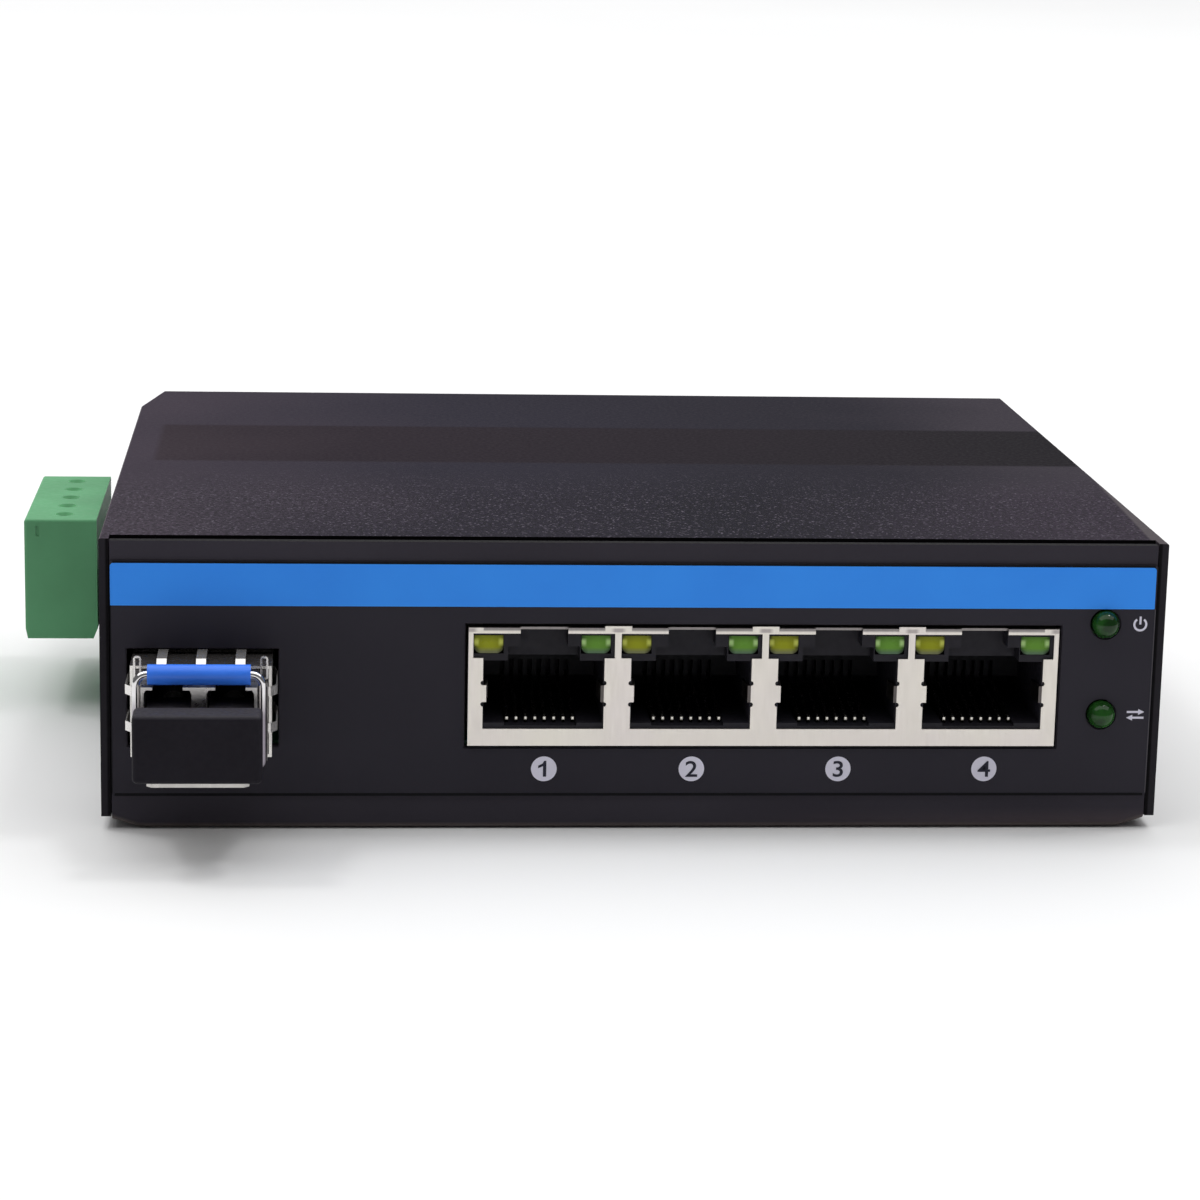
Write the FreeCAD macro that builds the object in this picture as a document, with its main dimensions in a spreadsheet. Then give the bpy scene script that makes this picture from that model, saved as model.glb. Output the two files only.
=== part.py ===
import FreeCAD, Part
import operator
import os
import Sketcher

# Compact industrial fibre switch: a folded steel box with four copper ports, one fibre port,
# two indicator lamps, a pluggable power terminal on the left and a rail clip behind.
# Frame: origin under the middle of the base, X to the right, Y to the back, Z up, millimetres.

SIZES = {
    # folded box
    "box_width": 110.0,
    "box_depth": 92.0,
    "box_height": 30.5,
    "sheet": 1.0,
    "seam": 0.1,
    "cover_lift": 1.3,
    "cover_bend": 0.2,
    "cover_gap": 0.9,
    "panel_drop": 0.2,
    "hip_width": 2.8,
    "hip_height": 0.9,
    "hip_bend": 2.0,
    "front_fold": 0.8,
    "flange_gap": 0.8,
    "corner_clip_width": 2.2,
    "corner_clip_depth": 11.5,
    # cover screws
    "cover_screw_inset": 16.0,
    "cover_screw_radius": 1.5,
    "cover_screw_head": 2.4,
    "cover_screw_sink": 0.9,
    "cover_screw_length": 3.2,
    "screw_play": 0.05,
    "cross_reach": 1.2,
    "cross_width": 0.5,
    "cross_depth": 0.5,
    # front film
    "film_thick": 0.25,
    "film_side_margin": 1.1,
    "film_top_margin": 2.25,
    "film_low_margin": 3.55,
    "film_corner": 0.3,
    "film_play": 0.1,
    # main board
    "board_lift": 7.4,
    "board_thick": 1.6,
    "board_side_gap": 2.5,
    "board_front_gap": 0.4,
    "board_back_gap": 8.0,
    "standoff_radius": 3.0,
    "standoff_shank": 2.0,
    "standoff_corner": 7.5,
    "standoff_clear": 7.5,
    "standoff_front": 10.0,
    "standoff_back": 12.5,
    "board_hole_play": 0.5,
    "board_screw_radius": 1.2,
    "board_screw_head": 2.75,
    "board_screw_head_high": 1.9,
    # four-port jack
    "jack_right_inset": 11.2,
    "jack_end": 0.15,
    "jack_height": 12.5,
    "jack_depth": 25.0,
    "jack_proud": 0.6,
    "jack_play": 0.3,
    "shield": 0.25,
    "shield_play": 0.05,
    "port_pitch": 15.24,
    "port_inset": 0.1,
    "port_low": 2.1,
    "port_drop": 3.5,
    "port_depth": 18.0,
    "port_ledge_width": 2.4,
    "port_ledge_high": 0.3,
    "mouth_divider": 2.74,
    "mouth_low": 1.8,
    "mouth_drop": 3.2,
    "lamp_zone_divider": 0.68,
    "lamp_zone_drop": 0.6,
    "shield_notch": 0.5,
    "latch_low_width": 7.4,
    "latch_low_drop": 2.0,
    "latch_width": 4.9,
    "latch_depth": 2.6,
    "ground_tab_low": 4.65,
    "ground_tab_high": 6.43,
    "ground_tab_length": 3.0,
    "ground_tab_lead": 2.2,
    "ground_tab_root": 0.35,
    "ground_tab_bend": 0.25,
    "tab_relief": 0.24,
    "divider_tab_width": 2.8,
    "divider_tab_drop": 0.35,
    "divider_tab_rise": 0.2,
    "comb_depth": 12.0,
    "comb_low": 4.5,
    "comb_slot": 0.5,
    "comb_slot_high": 1.7,
    "comb_slot_depth": 1.6,
    "lamp_gap": 0.26,
    "lamp_shift": 0.18,
    "lamp_width": 3.0,
    "lamp_height": 1.87,
    "lamp_drop": 0.85,
    "lamp_length": 9.5,
    "lamp_corner": 0.7,
    "contact_pitch": 0.975,
    "contact_wire": 0.32,
    "contact_shift": 0.27,
    "contact_start": 1.4,
    "contact_run": 12.3,
    "contact_reach": 11.8,
    "contact_rise": 2.6,
    # fibre port cage
    "sfp_left_inset": 10.45,
    "cage_width": 14.2,
    "cage_height": 9.5,
    "cage_sheet": 0.3,
    "cage_proud": 5.0,
    "cage_inside": 44.0,
    "finger_play": 0.05,
    "cage_low_play": 0.2,
    "finger_width": 1.0,
    "finger_pitch": 3.95,
    "finger_thick": 0.15,
    "finger_bow": 0.4,
    "finger_front": 0.8,
    "finger_crown": 6.2,
    "finger_length": 8.5,
    "finger_hook": 0.7,
    "finger_dip": 0.1,
    "side_finger_hook": 0.35,
    "side_finger_pitch": 3.8,
    "side_finger_rise": 0.25,
    "ear_width": 0.8,
    "ear_high": 2.4,
    "ear_wall": 0.2,
    "ear_thick": 0.3,
    "ear_corner": 0.3,
    "ear_inset": 0.35,
    "ear_hang": 1.35,
    "host_length": 8.5,
    "host_width": 11.2,
    "host_height": 5.7,
    # transceiver
    "module_play": 0.1,
    "module_gap": 0.4,
    "collar_depth": 2.5,
    "collar_top": 8.0,
    "nose_wall": 0.3,
    "nose_low": 0.6,
    "nose_top": 8.6,
    "nose_ahead": 0.75,
    "lip_ahead": 3.85,
    "lip_width": 10.1,
    "lip_thick": 0.6,
    "lip_corner": 0.5,
    "fibre_pitch": 6.2,
    "fibre_width": 4.7,
    "fibre_floor": 1.4,
    "fibre_roof": 0.3,
    "fibre_taper": 0.2,
    "fibre_taper_high": 0.35,
    "fibre_notch": 3.0,
    "fibre_depth": 13.0,
    "sleeve_radius": 1.25,
    "sleeve_length": 5.0,
    "tongue_width": 9.0,
    "tongue_thick": 1.0,
    "tongue_height": 3.6,
    "tongue_length": 4.5,
    "tongue_play": 0.1,
    # bail of the transceiver
    "bail_wire": 0.4,
    "bail_play": 0.05,
    "bail_side_gap": 0.1,
    "bail_back_gap": 1.7,
    "bail_bend": 1.1,
    "bail_foot": 0.55,
    "bail_pivot": 0.4,
    "grip_radius": 1.03,
    "grip_gap": 0.1,
    "grip_end": 0.05,
    "grip_play": 0.03,
    # dust plug
    "plug_width": 12.7,
    "plug_lift": 0.2,
    "plug_height": 6.95,
    "plug_stand": 2.4,
    "plug_depth": 3.35,
    "plug_edge": 0.5,
    "prong_height": 4.5,
    "prong_play": 0.15,
    "prong_length": 6.0,
    # indicator lamps
    "led_right_inset": 6.3,
    "led_drop": 8.5,
    "led_low": 3.35,
    "led_radius": 1.45,
    "led_play": 0.1,
    "led_proud": 0.3,
    "led_rim": 0.25,
    "led_flange_thick": 0.8,
    "lead_wire": 0.5,
    "lead_pitch": 2.54,
    "lead_run": 1.8,
    # power terminal
    "pole_pitch": 5.08,
    "terminal_gap": 5.2,
    "terminal_end": 0.4,
    "header_proud": 3.3,
    "header_depth": 12.0,
    "header_height": 8.4,
    "header_wall": 0.9,
    "header_cavity": 8.6,
    "pin_wire": 1.0,
    "pin_height": 4.4,
    "pin_reach": 7.0,
    "pin_tail": 2.6,
    "pin_step": 1.6,
    "pin_play": 0.02,
    "pin_hole_play": 0.05,
    "socket_play": 0.3,
    "plug_gap": 0.2,
    "block_depth": 8.3,
    "block_below": 0.6,
    "block_height": 14.1,
    "block_end": 0.2,
    "block_edge": 0.5,
    "block_chamfer": 1.2,
    "block_round": 0.35,
    "end_slot_set": 1.3,
    "end_slot_drop": 0.8,
    "end_slot_width": 0.4,
    "end_slot_high": 1.2,
    "end_slot_depth": 0.15,
    "tongue_fit": 0.2,
    "wire_entry": 3.6,
    "wire_entry_height": 3.6,
    "wire_entry_depth": 5.4,
    "clamp_play": 0.1,
    "clamp_wall": 0.5,
    "clamp_set": 1.6,
    "clamp_depth": 3.0,
    "driver_hole": 1.05,
    "driver_depth": 3.6,
    "driver_set": 3.9,
    "driver_play": 0.1,
    "clamp_screw_high": 3.2,
    "clamp_screw_slot": 0.5,
    "clamp_screw_cut": 0.7,
    # parts on the board
    "notch_play": 0.4,
    "chip_side": 14.0,
    "chip_high": 1.6,
    "chip_behind": 26.0,
    "sink_base": 1.5,
    "sink_high": 7.0,
    "sink_fin": 1.2,
    "sink_pitch": 3.2,
    "coil_side": 10.0,
    "coil_high": 4.0,
    "coil_corner": 2.0,
    "coil_gap": 7.0,
    "transformer_width": 12.0,
    "transformer_depth": 9.0,
    "transformer_high": 5.5,
    "transformer_gap": 2.0,
    "capacitor_radius": 4.0,
    "capacitor_high": 11.0,
    "capacitor_pitch": 11.0,
    "capacitor_gap": 20.0,
    "crystal_length": 11.0,
    "crystal_width": 4.6,
    "crystal_high": 3.5,
    "crystal_gap": 6.0,
    # rail clip
    "rail_width": 35.0,
    "rail_thick": 1.0,
    "rail_play": 0.5,
    "clip_high": 24.0,
    "clip_plate": 3.0,
    "clip_end": 4.0,
    "hook_reach": 2.2,
    "hook_thick": 2.0,
    "spring_sheet": 0.6,
    "spring_root": 3.5,
    "spring_reach": 2.2,
    "clip_screw_half": 8.0,
    "clip_screw_radius": 1.5,
    "clip_screw_head": 2.75,
    "clip_screw_head_high": 1.8,
    "clip_screw_tail": 2.0,
}

PORTS = 4
CONTACTS = 8
POLES = 5
SINK_FINS = 5
HALF_DIAGONAL = 2 ** 0.5 / 2
HEX_FLAT = 3 ** 0.5 / 2
TOLERANCE = 0.01

doc = FreeCAD.newDocument("FibreSwitch")
sheet = doc.addObject("Spreadsheet::Sheet", "Sizes")
nodes = []


class Size:
    """A length that keeps the sheet expression it was worked out from."""

    def __init__(self, value, text):
        self.value = float(value)
        self.text = text

    def __float__(self):
        return self.value

    def __add__(self, other):
        return combine(self, "+", other)

    def __radd__(self, other):
        return combine(other, "+", self)

    def __sub__(self, other):
        return combine(self, "-", other)

    def __rsub__(self, other):
        return combine(other, "-", self)

    def __mul__(self, other):
        return combine(self, "*", other)

    def __rmul__(self, other):
        return combine(other, "*", self)

    def __truediv__(self, other):
        return combine(self, "/", other)

    def __neg__(self):
        return combine(0, "-", self)


SIGNS = {"+": operator.add, "-": operator.sub, "*": operator.mul, "/": operator.truediv}


def as_size(length):
    return length if isinstance(length, Size) else Size(length, str(float(length)))


def combine(left, sign, right):
    left = as_size(left)
    right = as_size(right)
    return Size(SIGNS[sign](left.value, right.value), f"({left.text} {sign} {right.text})")


class Sheet:
    """Each named cell of the sheet as a Size."""

    def __getattr__(self, name):
        return Size(SIZES[name], "Sizes." + name)


s = Sheet()


def fill_sheet():
    for row, (name, value) in enumerate(SIZES.items(), start=1):
        sheet.set(f"A{row}", name)
        sheet.set(f"B{row}", str(value))
        sheet.setAlias(f"B{row}", name)
    doc.recompute()


def bind(thing, path, length):
    thing.setExpression(path, as_size(length).text)


def new_body(label):
    body = doc.addObject("PartDesign::Body", label)
    body.Label = label
    nodes.append(body)
    return body


def sketch(body, plane, at=(0, 0, 0)):
    """Sketch parallel to an origin plane, with its own origin at a point of the object's frame."""
    drawing = body.newObject("Sketcher::SketchObject", "Sketch")
    role = plane + "_Plane"
    support = [feature for feature in body.Origin.OriginFeatures if feature.Role == role]
    drawing.AttachmentSupport = [(support[0], "")]
    drawing.MapMode = "FlatFace"
    x, y, z = at
    local = {"XY": (x, y, z), "XZ": (x, z, -y), "YZ": (y, z, x)}[plane]
    for axis, length in zip("xyz", local):
        bind(drawing, "AttachmentOffset.Base." + axis, length)
    return drawing


def fix_point(drawing, geometry, point, x, y):
    for kind, length in (("DistanceX", x), ("DistanceY", y)):
        constraint = Sketcher.Constraint(kind, -1, 1, geometry, point, float(length))
        bind(drawing, f"Constraints[{drawing.addConstraint(constraint)}]", length)


def polygon(drawing, points):
    first = drawing.GeometryCount
    corners = [FreeCAD.Vector(float(x), float(y), 0) for x, y in points]
    following = corners[1:] + corners[:1]
    for start, end in zip(corners, following):
        drawing.addGeometry(Part.LineSegment(start, end))
    for index, (x, y) in enumerate(points):
        after = first + (index + 1) % len(points)
        drawing.addConstraint(Sketcher.Constraint("Coincident", first + index, 2, after, 1))
        fix_point(drawing, first + index, 1, x, y)


def rectangle(drawing, x_low, x_high, y_low, y_high):
    polygon(drawing, [(x_low, y_low), (x_high, y_low), (x_high, y_high), (x_low, y_high)])


def hexagon(drawing, x, y, radius):
    half = radius / 2
    rise = radius * HEX_FLAT
    polygon(drawing, [
        (x + radius, y), (x + half, y + rise), (x - half, y + rise),
        (x - radius, y), (x - half, y - rise), (x + half, y - rise),
    ])


def circle(drawing, x, y, radius):
    centre = FreeCAD.Vector(float(x), float(y), 0)
    geometry = drawing.addGeometry(Part.Circle(centre, FreeCAD.Vector(0, 0, 1), float(radius)))
    fix_point(drawing, geometry, 3, x, y)
    constraint = Sketcher.Constraint("Radius", geometry, float(radius))
    bind(drawing, f"Constraints[{drawing.addConstraint(constraint)}]", radius)


def extrude(body, kind, drawing, length, turned=False, both=False):
    feature = body.newObject("PartDesign::" + kind, kind)
    feature.Profile = drawing
    bind(feature, "Length", length)
    feature.Midplane = both
    feature.Reversed = turned
    body.Tip = feature
    return feature


def pad(body, drawing, length, turned=False, both=False):
    return extrude(body, "Pad", drawing, length, turned, both)


def pocket(body, drawing, length, turned=False, both=False):
    return extrude(body, "Pocket", drawing, length, turned, both)


def revolve(body, drawing, axis, kind="Revolution"):
    feature = body.newObject("PartDesign::" + kind, kind)
    feature.Profile = drawing
    feature.ReferenceAxis = (drawing, [axis])
    body.Tip = feature
    return feature


def repeat(body, features, axis, step, count):
    """Copies of features in a line along an origin axis."""
    pattern = body.newObject("PartDesign::LinearPattern", "LinearPattern")
    pattern.Originals = features
    line = [feature for feature in body.Origin.OriginFeatures if feature.Role == axis + "_Axis"]
    pattern.Direction = (line[0], [""])
    bind(pattern, "Length", step * (count - 1))
    pattern.Occurrences = count
    body.Tip = pattern
    return pattern


def round_edges(body, radius, chosen):
    """Fillet on the edges whose box the chosen function accepts."""
    doc.recompute()
    base = body.Tip
    names = [f"Edge{n}" for n, edge in enumerate(base.Shape.Edges, start=1) if chosen(edge.BoundBox)]
    fillet = body.newObject("PartDesign::Fillet", "Fillet")
    fillet.Base = (base, names)
    bind(fillet, "Radius", radius)
    body.Tip = fillet


def near(number, length):
    return abs(number - float(length)) < TOLERANCE


def along(box, axis):
    """True where an edge's box stretches along one axis only."""
    spans = {"X": box.XLength, "Y": box.YLength, "Z": box.ZLength}
    return all((span > TOLERANCE) == (name == axis) for name, span in spans.items())


def solid(label, kind, **lengths):
    thing = doc.addObject("Part::" + kind, label)
    for name, length in lengths.items():
        bind(thing, name, length)
    return thing


def place(thing, x, y, z, turn=None):
    if turn:
        axis, angle = turn
        thing.Placement = FreeCAD.Placement(FreeCAD.Vector(), FreeCAD.Rotation(axis, angle))
    for name, length in zip("xyz", (x, y, z)):
        bind(thing, "Placement.Base." + name, length)
    return thing


def block(label, x_low, x_high, y_low, y_high, z_low, z_high):
    thing = solid(label, "Box", Length=x_high - x_low, Width=y_high - y_low, Height=z_high - z_low)
    return place(thing, x_low, y_low, z_low)


def gather(label, kind, parts):
    thing = doc.addObject("Part::" + kind, label)
    if kind == "Compound":
        thing.Links = parts
    else:
        thing.Shapes = parts
    thing.Label = label
    nodes.append(thing)
    return thing


fill_sheet()

# Main planes and centres
front = -s.box_depth / 2
back = s.box_depth / 2
left = -s.box_width / 2
right = s.box_width / 2
tray_half = s.box_width / 2 - s.sheet - s.seam
tray_top = s.box_height - s.sheet - s.seam
panel_top = s.box_height - s.panel_drop
board_top = s.board_lift + s.board_thick
board_half = tray_half - s.board_side_gap
board_front = front + s.sheet + s.board_front_gap
board_back = back - s.board_back_gap

jack_right = right - s.jack_right_inset
jack_width = s.port_pitch * PORTS + s.jack_end * 2
jack_left = jack_right - jack_width
jack_x = jack_right - jack_width / 2
jack_front = front - s.jack_proud
jack_back = jack_front + s.jack_depth
jack_top = board_top + s.jack_height
mouth_half = (s.port_pitch - s.mouth_divider) / 2
port_half = mouth_half - s.port_inset
lamp_zone_half = (s.port_pitch - s.lamp_zone_divider) / 2
lamp_reach = lamp_zone_half - s.lamp_gap - s.lamp_width / 2
lamp_offsets = [-lamp_reach - s.lamp_shift, lamp_reach - s.lamp_shift]
lamp_zone_high = s.jack_height - s.lamp_zone_drop
port_xs = [jack_x + (n - (PORTS - 1) / 2) * s.port_pitch for n in range(PORTS)]
contact_x = port_xs[0] - s.contact_shift - s.contact_pitch * (CONTACTS - 1) / 2

sfp_x = left + s.sfp_left_inset
cage_top = board_top + s.cage_height
cage_front = front - s.cage_proud
cage_back = front + s.cage_inside
host_front = cage_back - s.cage_sheet * 2 - s.host_length
module_back = host_front - s.module_gap
module_half = s.cage_width / 2 - s.cage_sheet - s.module_play
collar_front = cage_front - s.collar_depth
bail_y = collar_front - s.bail_back_gap - s.bail_wire
nose_front = bail_y - s.nose_ahead
nose_half = (s.fibre_pitch + s.fibre_width) / 2 + s.nose_wall
bail_half = nose_half + s.bail_side_gap + s.bail_wire
bail_top = s.nose_top + s.grip_gap + s.grip_radius
fibre_xs = [-s.fibre_pitch / 2, s.fibre_pitch / 2]

led_x = right - s.led_right_inset
led_heights = [s.box_height - s.led_drop, board_top + s.led_low]

terminal_half = s.pole_pitch * POLES / 2 + s.terminal_end
terminal_y = cage_back + s.terminal_gap + terminal_half
pole_ys = [terminal_y + (n - (POLES - 1) / 2) * s.pole_pitch for n in range(POLES)]
header_left = left - s.header_proud
header_right = header_left + s.header_depth
header_top = board_top + s.header_height

standoffs = [
    ((sfp_x + s.cage_width / 2 + jack_left) / 2, front + s.standoff_front),
    (right - s.standoff_corner, front + s.standoff_front),
    (header_right + s.standoff_clear, back - s.standoff_back),
    (right - s.standoff_corner, back - s.standoff_back),
]
cover_screw_ys = [front + s.cover_screw_inset, back - s.cover_screw_inset]
clip_middle = s.box_height / 2
flange_top = board_top - s.flange_gap
cover_screw_z = (s.hip_height + s.hip_bend + flange_top) / 2


def front_openings(drawing, play):
    """Cut-outs for the jack, the cage and both lamps, relative to the sketch's origin."""
    rectangle(drawing, jack_left - s.jack_play - play, jack_right + s.jack_play + play,
              board_top - s.jack_play - play, jack_top + s.jack_play + play)
    rise = s.finger_bow + s.finger_thick + s.finger_play + play
    side = s.cage_width / 2 + rise
    rectangle(drawing, sfp_x - side, sfp_x + side, board_top - s.cage_low_play - play, cage_top + rise)
    for height in led_heights:
        circle(drawing, led_x, height, s.led_radius + s.led_play + play)


def clipped_plan(drawing, inset):
    """Plan of the box with its left rear corner cut away, drawn inside by an inset."""
    slope = s.corner_clip_width / s.corner_clip_depth
    polygon(drawing, [
        (left + inset, front),
        (right - inset, front),
        (right - inset, back),
        (left + inset + s.corner_clip_depth * slope, back),
        (left + inset, back - s.corner_clip_depth),
    ])


def make_tray():
    body = new_body("chassis_tray")
    walls = sketch(body, "YZ")
    polygon(walls, [
        (front, panel_top), (front, 0), (back, 0), (back, tray_top),
        (back - s.sheet, tray_top), (back - s.sheet, s.sheet),
        (front + s.sheet, s.sheet), (front + s.sheet, panel_top),
    ])
    pad(body, walls, tray_half * 2, both=True)
    slope = s.hip_height / s.hip_width
    foot = tray_half - s.hip_width
    inner = tray_half - s.sheet
    inner_foot = foot - s.sheet * slope / 2
    inner_hip = s.sheet + (inner - inner_foot) * slope
    flanges = sketch(body, "XZ")
    polygon(flanges, [
        (-tray_half, flange_top), (-tray_half, s.hip_height), (-foot, 0), (foot, 0),
        (tray_half, s.hip_height), (tray_half, flange_top),
        (inner, flange_top), (inner, inner_hip), (inner_foot, s.sheet),
        (-inner_foot, s.sheet), (-inner, inner_hip), (-inner, flange_top),
    ])
    pad(body, flanges, s.box_depth - s.sheet * 2, both=True)
    hips = sketch(body, "XZ")
    for sign in (-1, 1):
        polygon(hips, [(sign * foot, 0), (sign * tray_half, s.hip_height), (sign * tray_half, 0)])
    pocket(body, hips, s.box_depth, both=True)
    round_edges(body, s.hip_bend, lambda box: along(box, "Y") and near(abs(box.XMin), foot)
                and near(box.ZMin, 0))
    round_edges(body, s.front_fold, lambda box: near(box.YLength, 0) and near(abs(box.YMin), back)
                and box.ZMax < float(s.hip_height) + float(s.seam))
    corner = sketch(body, "XY")
    reach = s.sheet + s.seam
    polygon(corner, [
        (left, back - s.corner_clip_depth), (left + reach, back - s.corner_clip_depth),
        (left + reach + s.corner_clip_width, back), (left, back),
    ])
    pocket(body, corner, s.box_height, turned=True)
    openings = sketch(body, "XZ", (0, front, 0))
    front_openings(openings, 0)
    pocket(body, openings, s.sheet)
    rear = sketch(body, "XZ", (0, back - s.sheet, 0))
    for x in (-s.clip_screw_half, s.clip_screw_half):
        circle(rear, x, clip_middle, s.clip_screw_radius + s.screw_play)
    pocket(body, rear, s.sheet)
    shanks = sketch(body, "XY")
    for x, y in standoffs:
        circle(shanks, x, y, s.standoff_shank + s.screw_play)
    pocket(body, shanks, s.sheet, turned=True)
    threads = sketch(body, "YZ")
    for y in cover_screw_ys:
        circle(threads, y, cover_screw_z, s.cover_screw_radius + s.screw_play)
    pocket(body, threads, s.box_width, both=True)


def make_cover():
    body = new_body("top_cover")
    plan = sketch(body, "XY", (0, 0, s.cover_lift))
    clipped_plan(plan, 0)
    pad(body, plan, s.box_height - s.cover_lift)
    inside = sketch(body, "XY", (0, 0, s.cover_lift))
    clipped_plan(inside, s.sheet)
    pocket(body, inside, s.box_height - s.cover_lift - s.sheet, turned=True)
    round_edges(body, s.cover_bend, lambda box: near(box.ZMin, s.box_height) and not along(box, "X"))
    panel = sketch(body, "XY", (0, front, s.box_height))
    rectangle(panel, left + s.sheet, right - s.sheet, 0, s.sheet + s.cover_gap)
    pocket(body, panel, s.sheet)
    notch = sketch(body, "YZ", (left, terminal_y, 0))
    half = terminal_half + s.notch_play
    rectangle(notch, -half, half, s.cover_lift, header_top + s.notch_play)
    pocket(body, notch, s.sheet + s.corner_clip_width, turned=True)
    for side, sign in ((left, 1), (right, -1)):
        for y in cover_screw_ys:
            sink = sketch(body, "XY", (side, y, cover_screw_z))
            wide = s.cover_screw_head + s.screw_play
            slim = s.cover_screw_radius + s.screw_play
            polygon(sink, [(0, 0), (0, wide), (sign * s.cover_screw_sink, slim), (sign * s.sheet * 2, slim),
                           (sign * s.sheet * 2, 0)])
            revolve(body, sink, "H_Axis", "Groove")


def make_cover_screws():
    body = new_body("cover_screws")
    for side, sign in ((left, 1), (right, -1)):
        for y in cover_screw_ys:
            profile = sketch(body, "XY", (side, y, cover_screw_z))
            polygon(profile, [
                (0, 0), (0, s.cover_screw_head), (sign * s.cover_screw_sink, s.cover_screw_radius),
                (sign * s.cover_screw_length, s.cover_screw_radius), (sign * s.cover_screw_length, 0),
            ])
            revolve(body, profile, "H_Axis")
    for side, turned in ((left, True), (right, False)):
        for across, up in ((s.cross_reach, s.cross_width / 2), (s.cross_width / 2, s.cross_reach)):
            recess = sketch(body, "YZ", (side, 0, cover_screw_z))
            for y in cover_screw_ys:
                rectangle(recess, y - across, y + across, -up, up)
            pocket(body, recess, s.cross_depth, turned)


def make_film():
    body = new_body("front_label")
    outline = sketch(body, "XZ", (0, front, 0))
    half = s.box_width / 2 - s.film_side_margin
    high = s.box_height - s.film_top_margin
    rectangle(outline, -half, half, s.film_low_margin, high)
    front_openings(outline, s.film_play)
    pad(body, outline, s.film_thick)
    round_edges(body, s.film_corner, lambda box: along(box, "Y") and near(abs(box.XMin), half))


def make_board():
    body = new_body("main_board")
    outline = sketch(body, "XY", (0, 0, s.board_lift))
    rectangle(outline, -board_half, board_half, board_front, board_back)
    for x, y in standoffs:
        circle(outline, x, y, s.board_screw_radius + s.board_hole_play)
    for y in pole_ys:
        circle(outline, header_right + s.pin_step, y, s.pin_wire * HALF_DIAGONAL + s.pin_hole_play)
    pad(body, outline, s.board_thick)


def discs(body, low, high, radius):
    """One round pad for each standoff place."""
    drawing = sketch(body, "XY", (0, 0, low))
    for x, y in standoffs:
        circle(drawing, x, y, radius)
    return pad(body, drawing, high - low)


def make_standoffs():
    body = new_body("board_standoffs")
    posts = sketch(body, "XY", (0, 0, s.sheet))
    for x, y in standoffs:
        hexagon(posts, x, y, s.standoff_radius)
    pad(body, posts, s.board_lift - s.sheet)
    discs(body, 0, s.sheet, s.standoff_shank)
    bores = sketch(body, "XY")
    for x, y in standoffs:
        circle(bores, x, y, s.board_screw_radius + s.screw_play)
    pocket(body, bores, s.board_lift, turned=True)


def make_board_screws():
    body = new_body("board_screws")
    discs(body, s.sheet, board_top, s.board_screw_radius)
    discs(body, board_top, board_top + s.board_screw_head_high, s.board_screw_head)


def make_jack_shield():
    body = new_body("rj45_shield")
    outline = sketch(body, "XZ", (0, jack_front, board_top))
    rectangle(outline, jack_left, jack_right, 0, s.jack_height)
    pad(body, outline, s.jack_depth, turned=True)
    hollow = sketch(body, "XZ", (0, jack_front + s.shield, board_top))
    rectangle(hollow, jack_left + s.shield, jack_right - s.shield, 0, s.jack_height - s.shield)
    pocket(body, hollow, s.jack_depth - s.shield * 2)
    mouths = sketch(body, "XZ", (0, jack_front, board_top))
    for x in port_xs:
        low = x - mouth_half
        high = x + mouth_half
        step = s.jack_height - s.mouth_drop
        polygon(mouths, [
            (low, s.mouth_low), (high, s.mouth_low), (high, step),
            (x + lamp_zone_half, step), (x + lamp_zone_half, lamp_zone_high),
            (x - lamp_zone_half, lamp_zone_high), (x - lamp_zone_half, step), (low, step),
        ])
    pocket(body, mouths, s.shield)
    notches = sketch(body, "XZ", (0, jack_front, board_top))
    for x in port_xs:
        rectangle(notches, x - s.latch_width / 2, x + s.latch_width / 2, lamp_zone_high, s.jack_height)
    pocket(body, notches, s.shield_notch)
    reliefs = sketch(body, "XZ", (0, jack_front, board_top))
    for x in port_xs:
        for edge in (x - mouth_half, x + mouth_half):
            circle(reliefs, edge, s.ground_tab_low - s.tab_relief, s.tab_relief)
            circle(reliefs, edge, s.ground_tab_high + s.tab_relief, s.tab_relief)
    pocket(body, reliefs, s.shield)
    ground_tabs(body)
    folds = sketch(body, "XZ", (0, jack_front, board_top + s.jack_height))
    side = s.divider_tab_width / 2
    for x in port_xs[1:]:
        divider = x - s.port_pitch / 2
        rectangle(folds, divider - side, divider + side, -s.divider_tab_drop, s.divider_tab_rise)
    pad(body, folds, s.shield, turned=True)


def ground_tabs(body):
    """Spring tabs bent in from both sides of each mouth, with a sloping lead."""
    outer = port_half - s.shield_play
    root = mouth_half - s.ground_tab_root
    inner = root - s.ground_tab_bend
    rear = inner + s.shield
    tabs = sketch(body, "XY", (0, jack_front, board_top + s.ground_tab_low))
    for x in port_xs:
        for sign in (-1, 1):
            polygon(tabs, [
                (x + sign * mouth_half, 0), (x + sign * root, 0), (x + sign * inner, s.ground_tab_lead),
                (x + sign * inner, s.ground_tab_length), (x + sign * rear, s.ground_tab_length),
                (x + sign * rear, s.ground_tab_lead), (x + sign * outer, s.shield),
                (x + sign * mouth_half, s.shield),
            ])
    pad(body, tabs, s.ground_tab_high - s.ground_tab_low)


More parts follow.
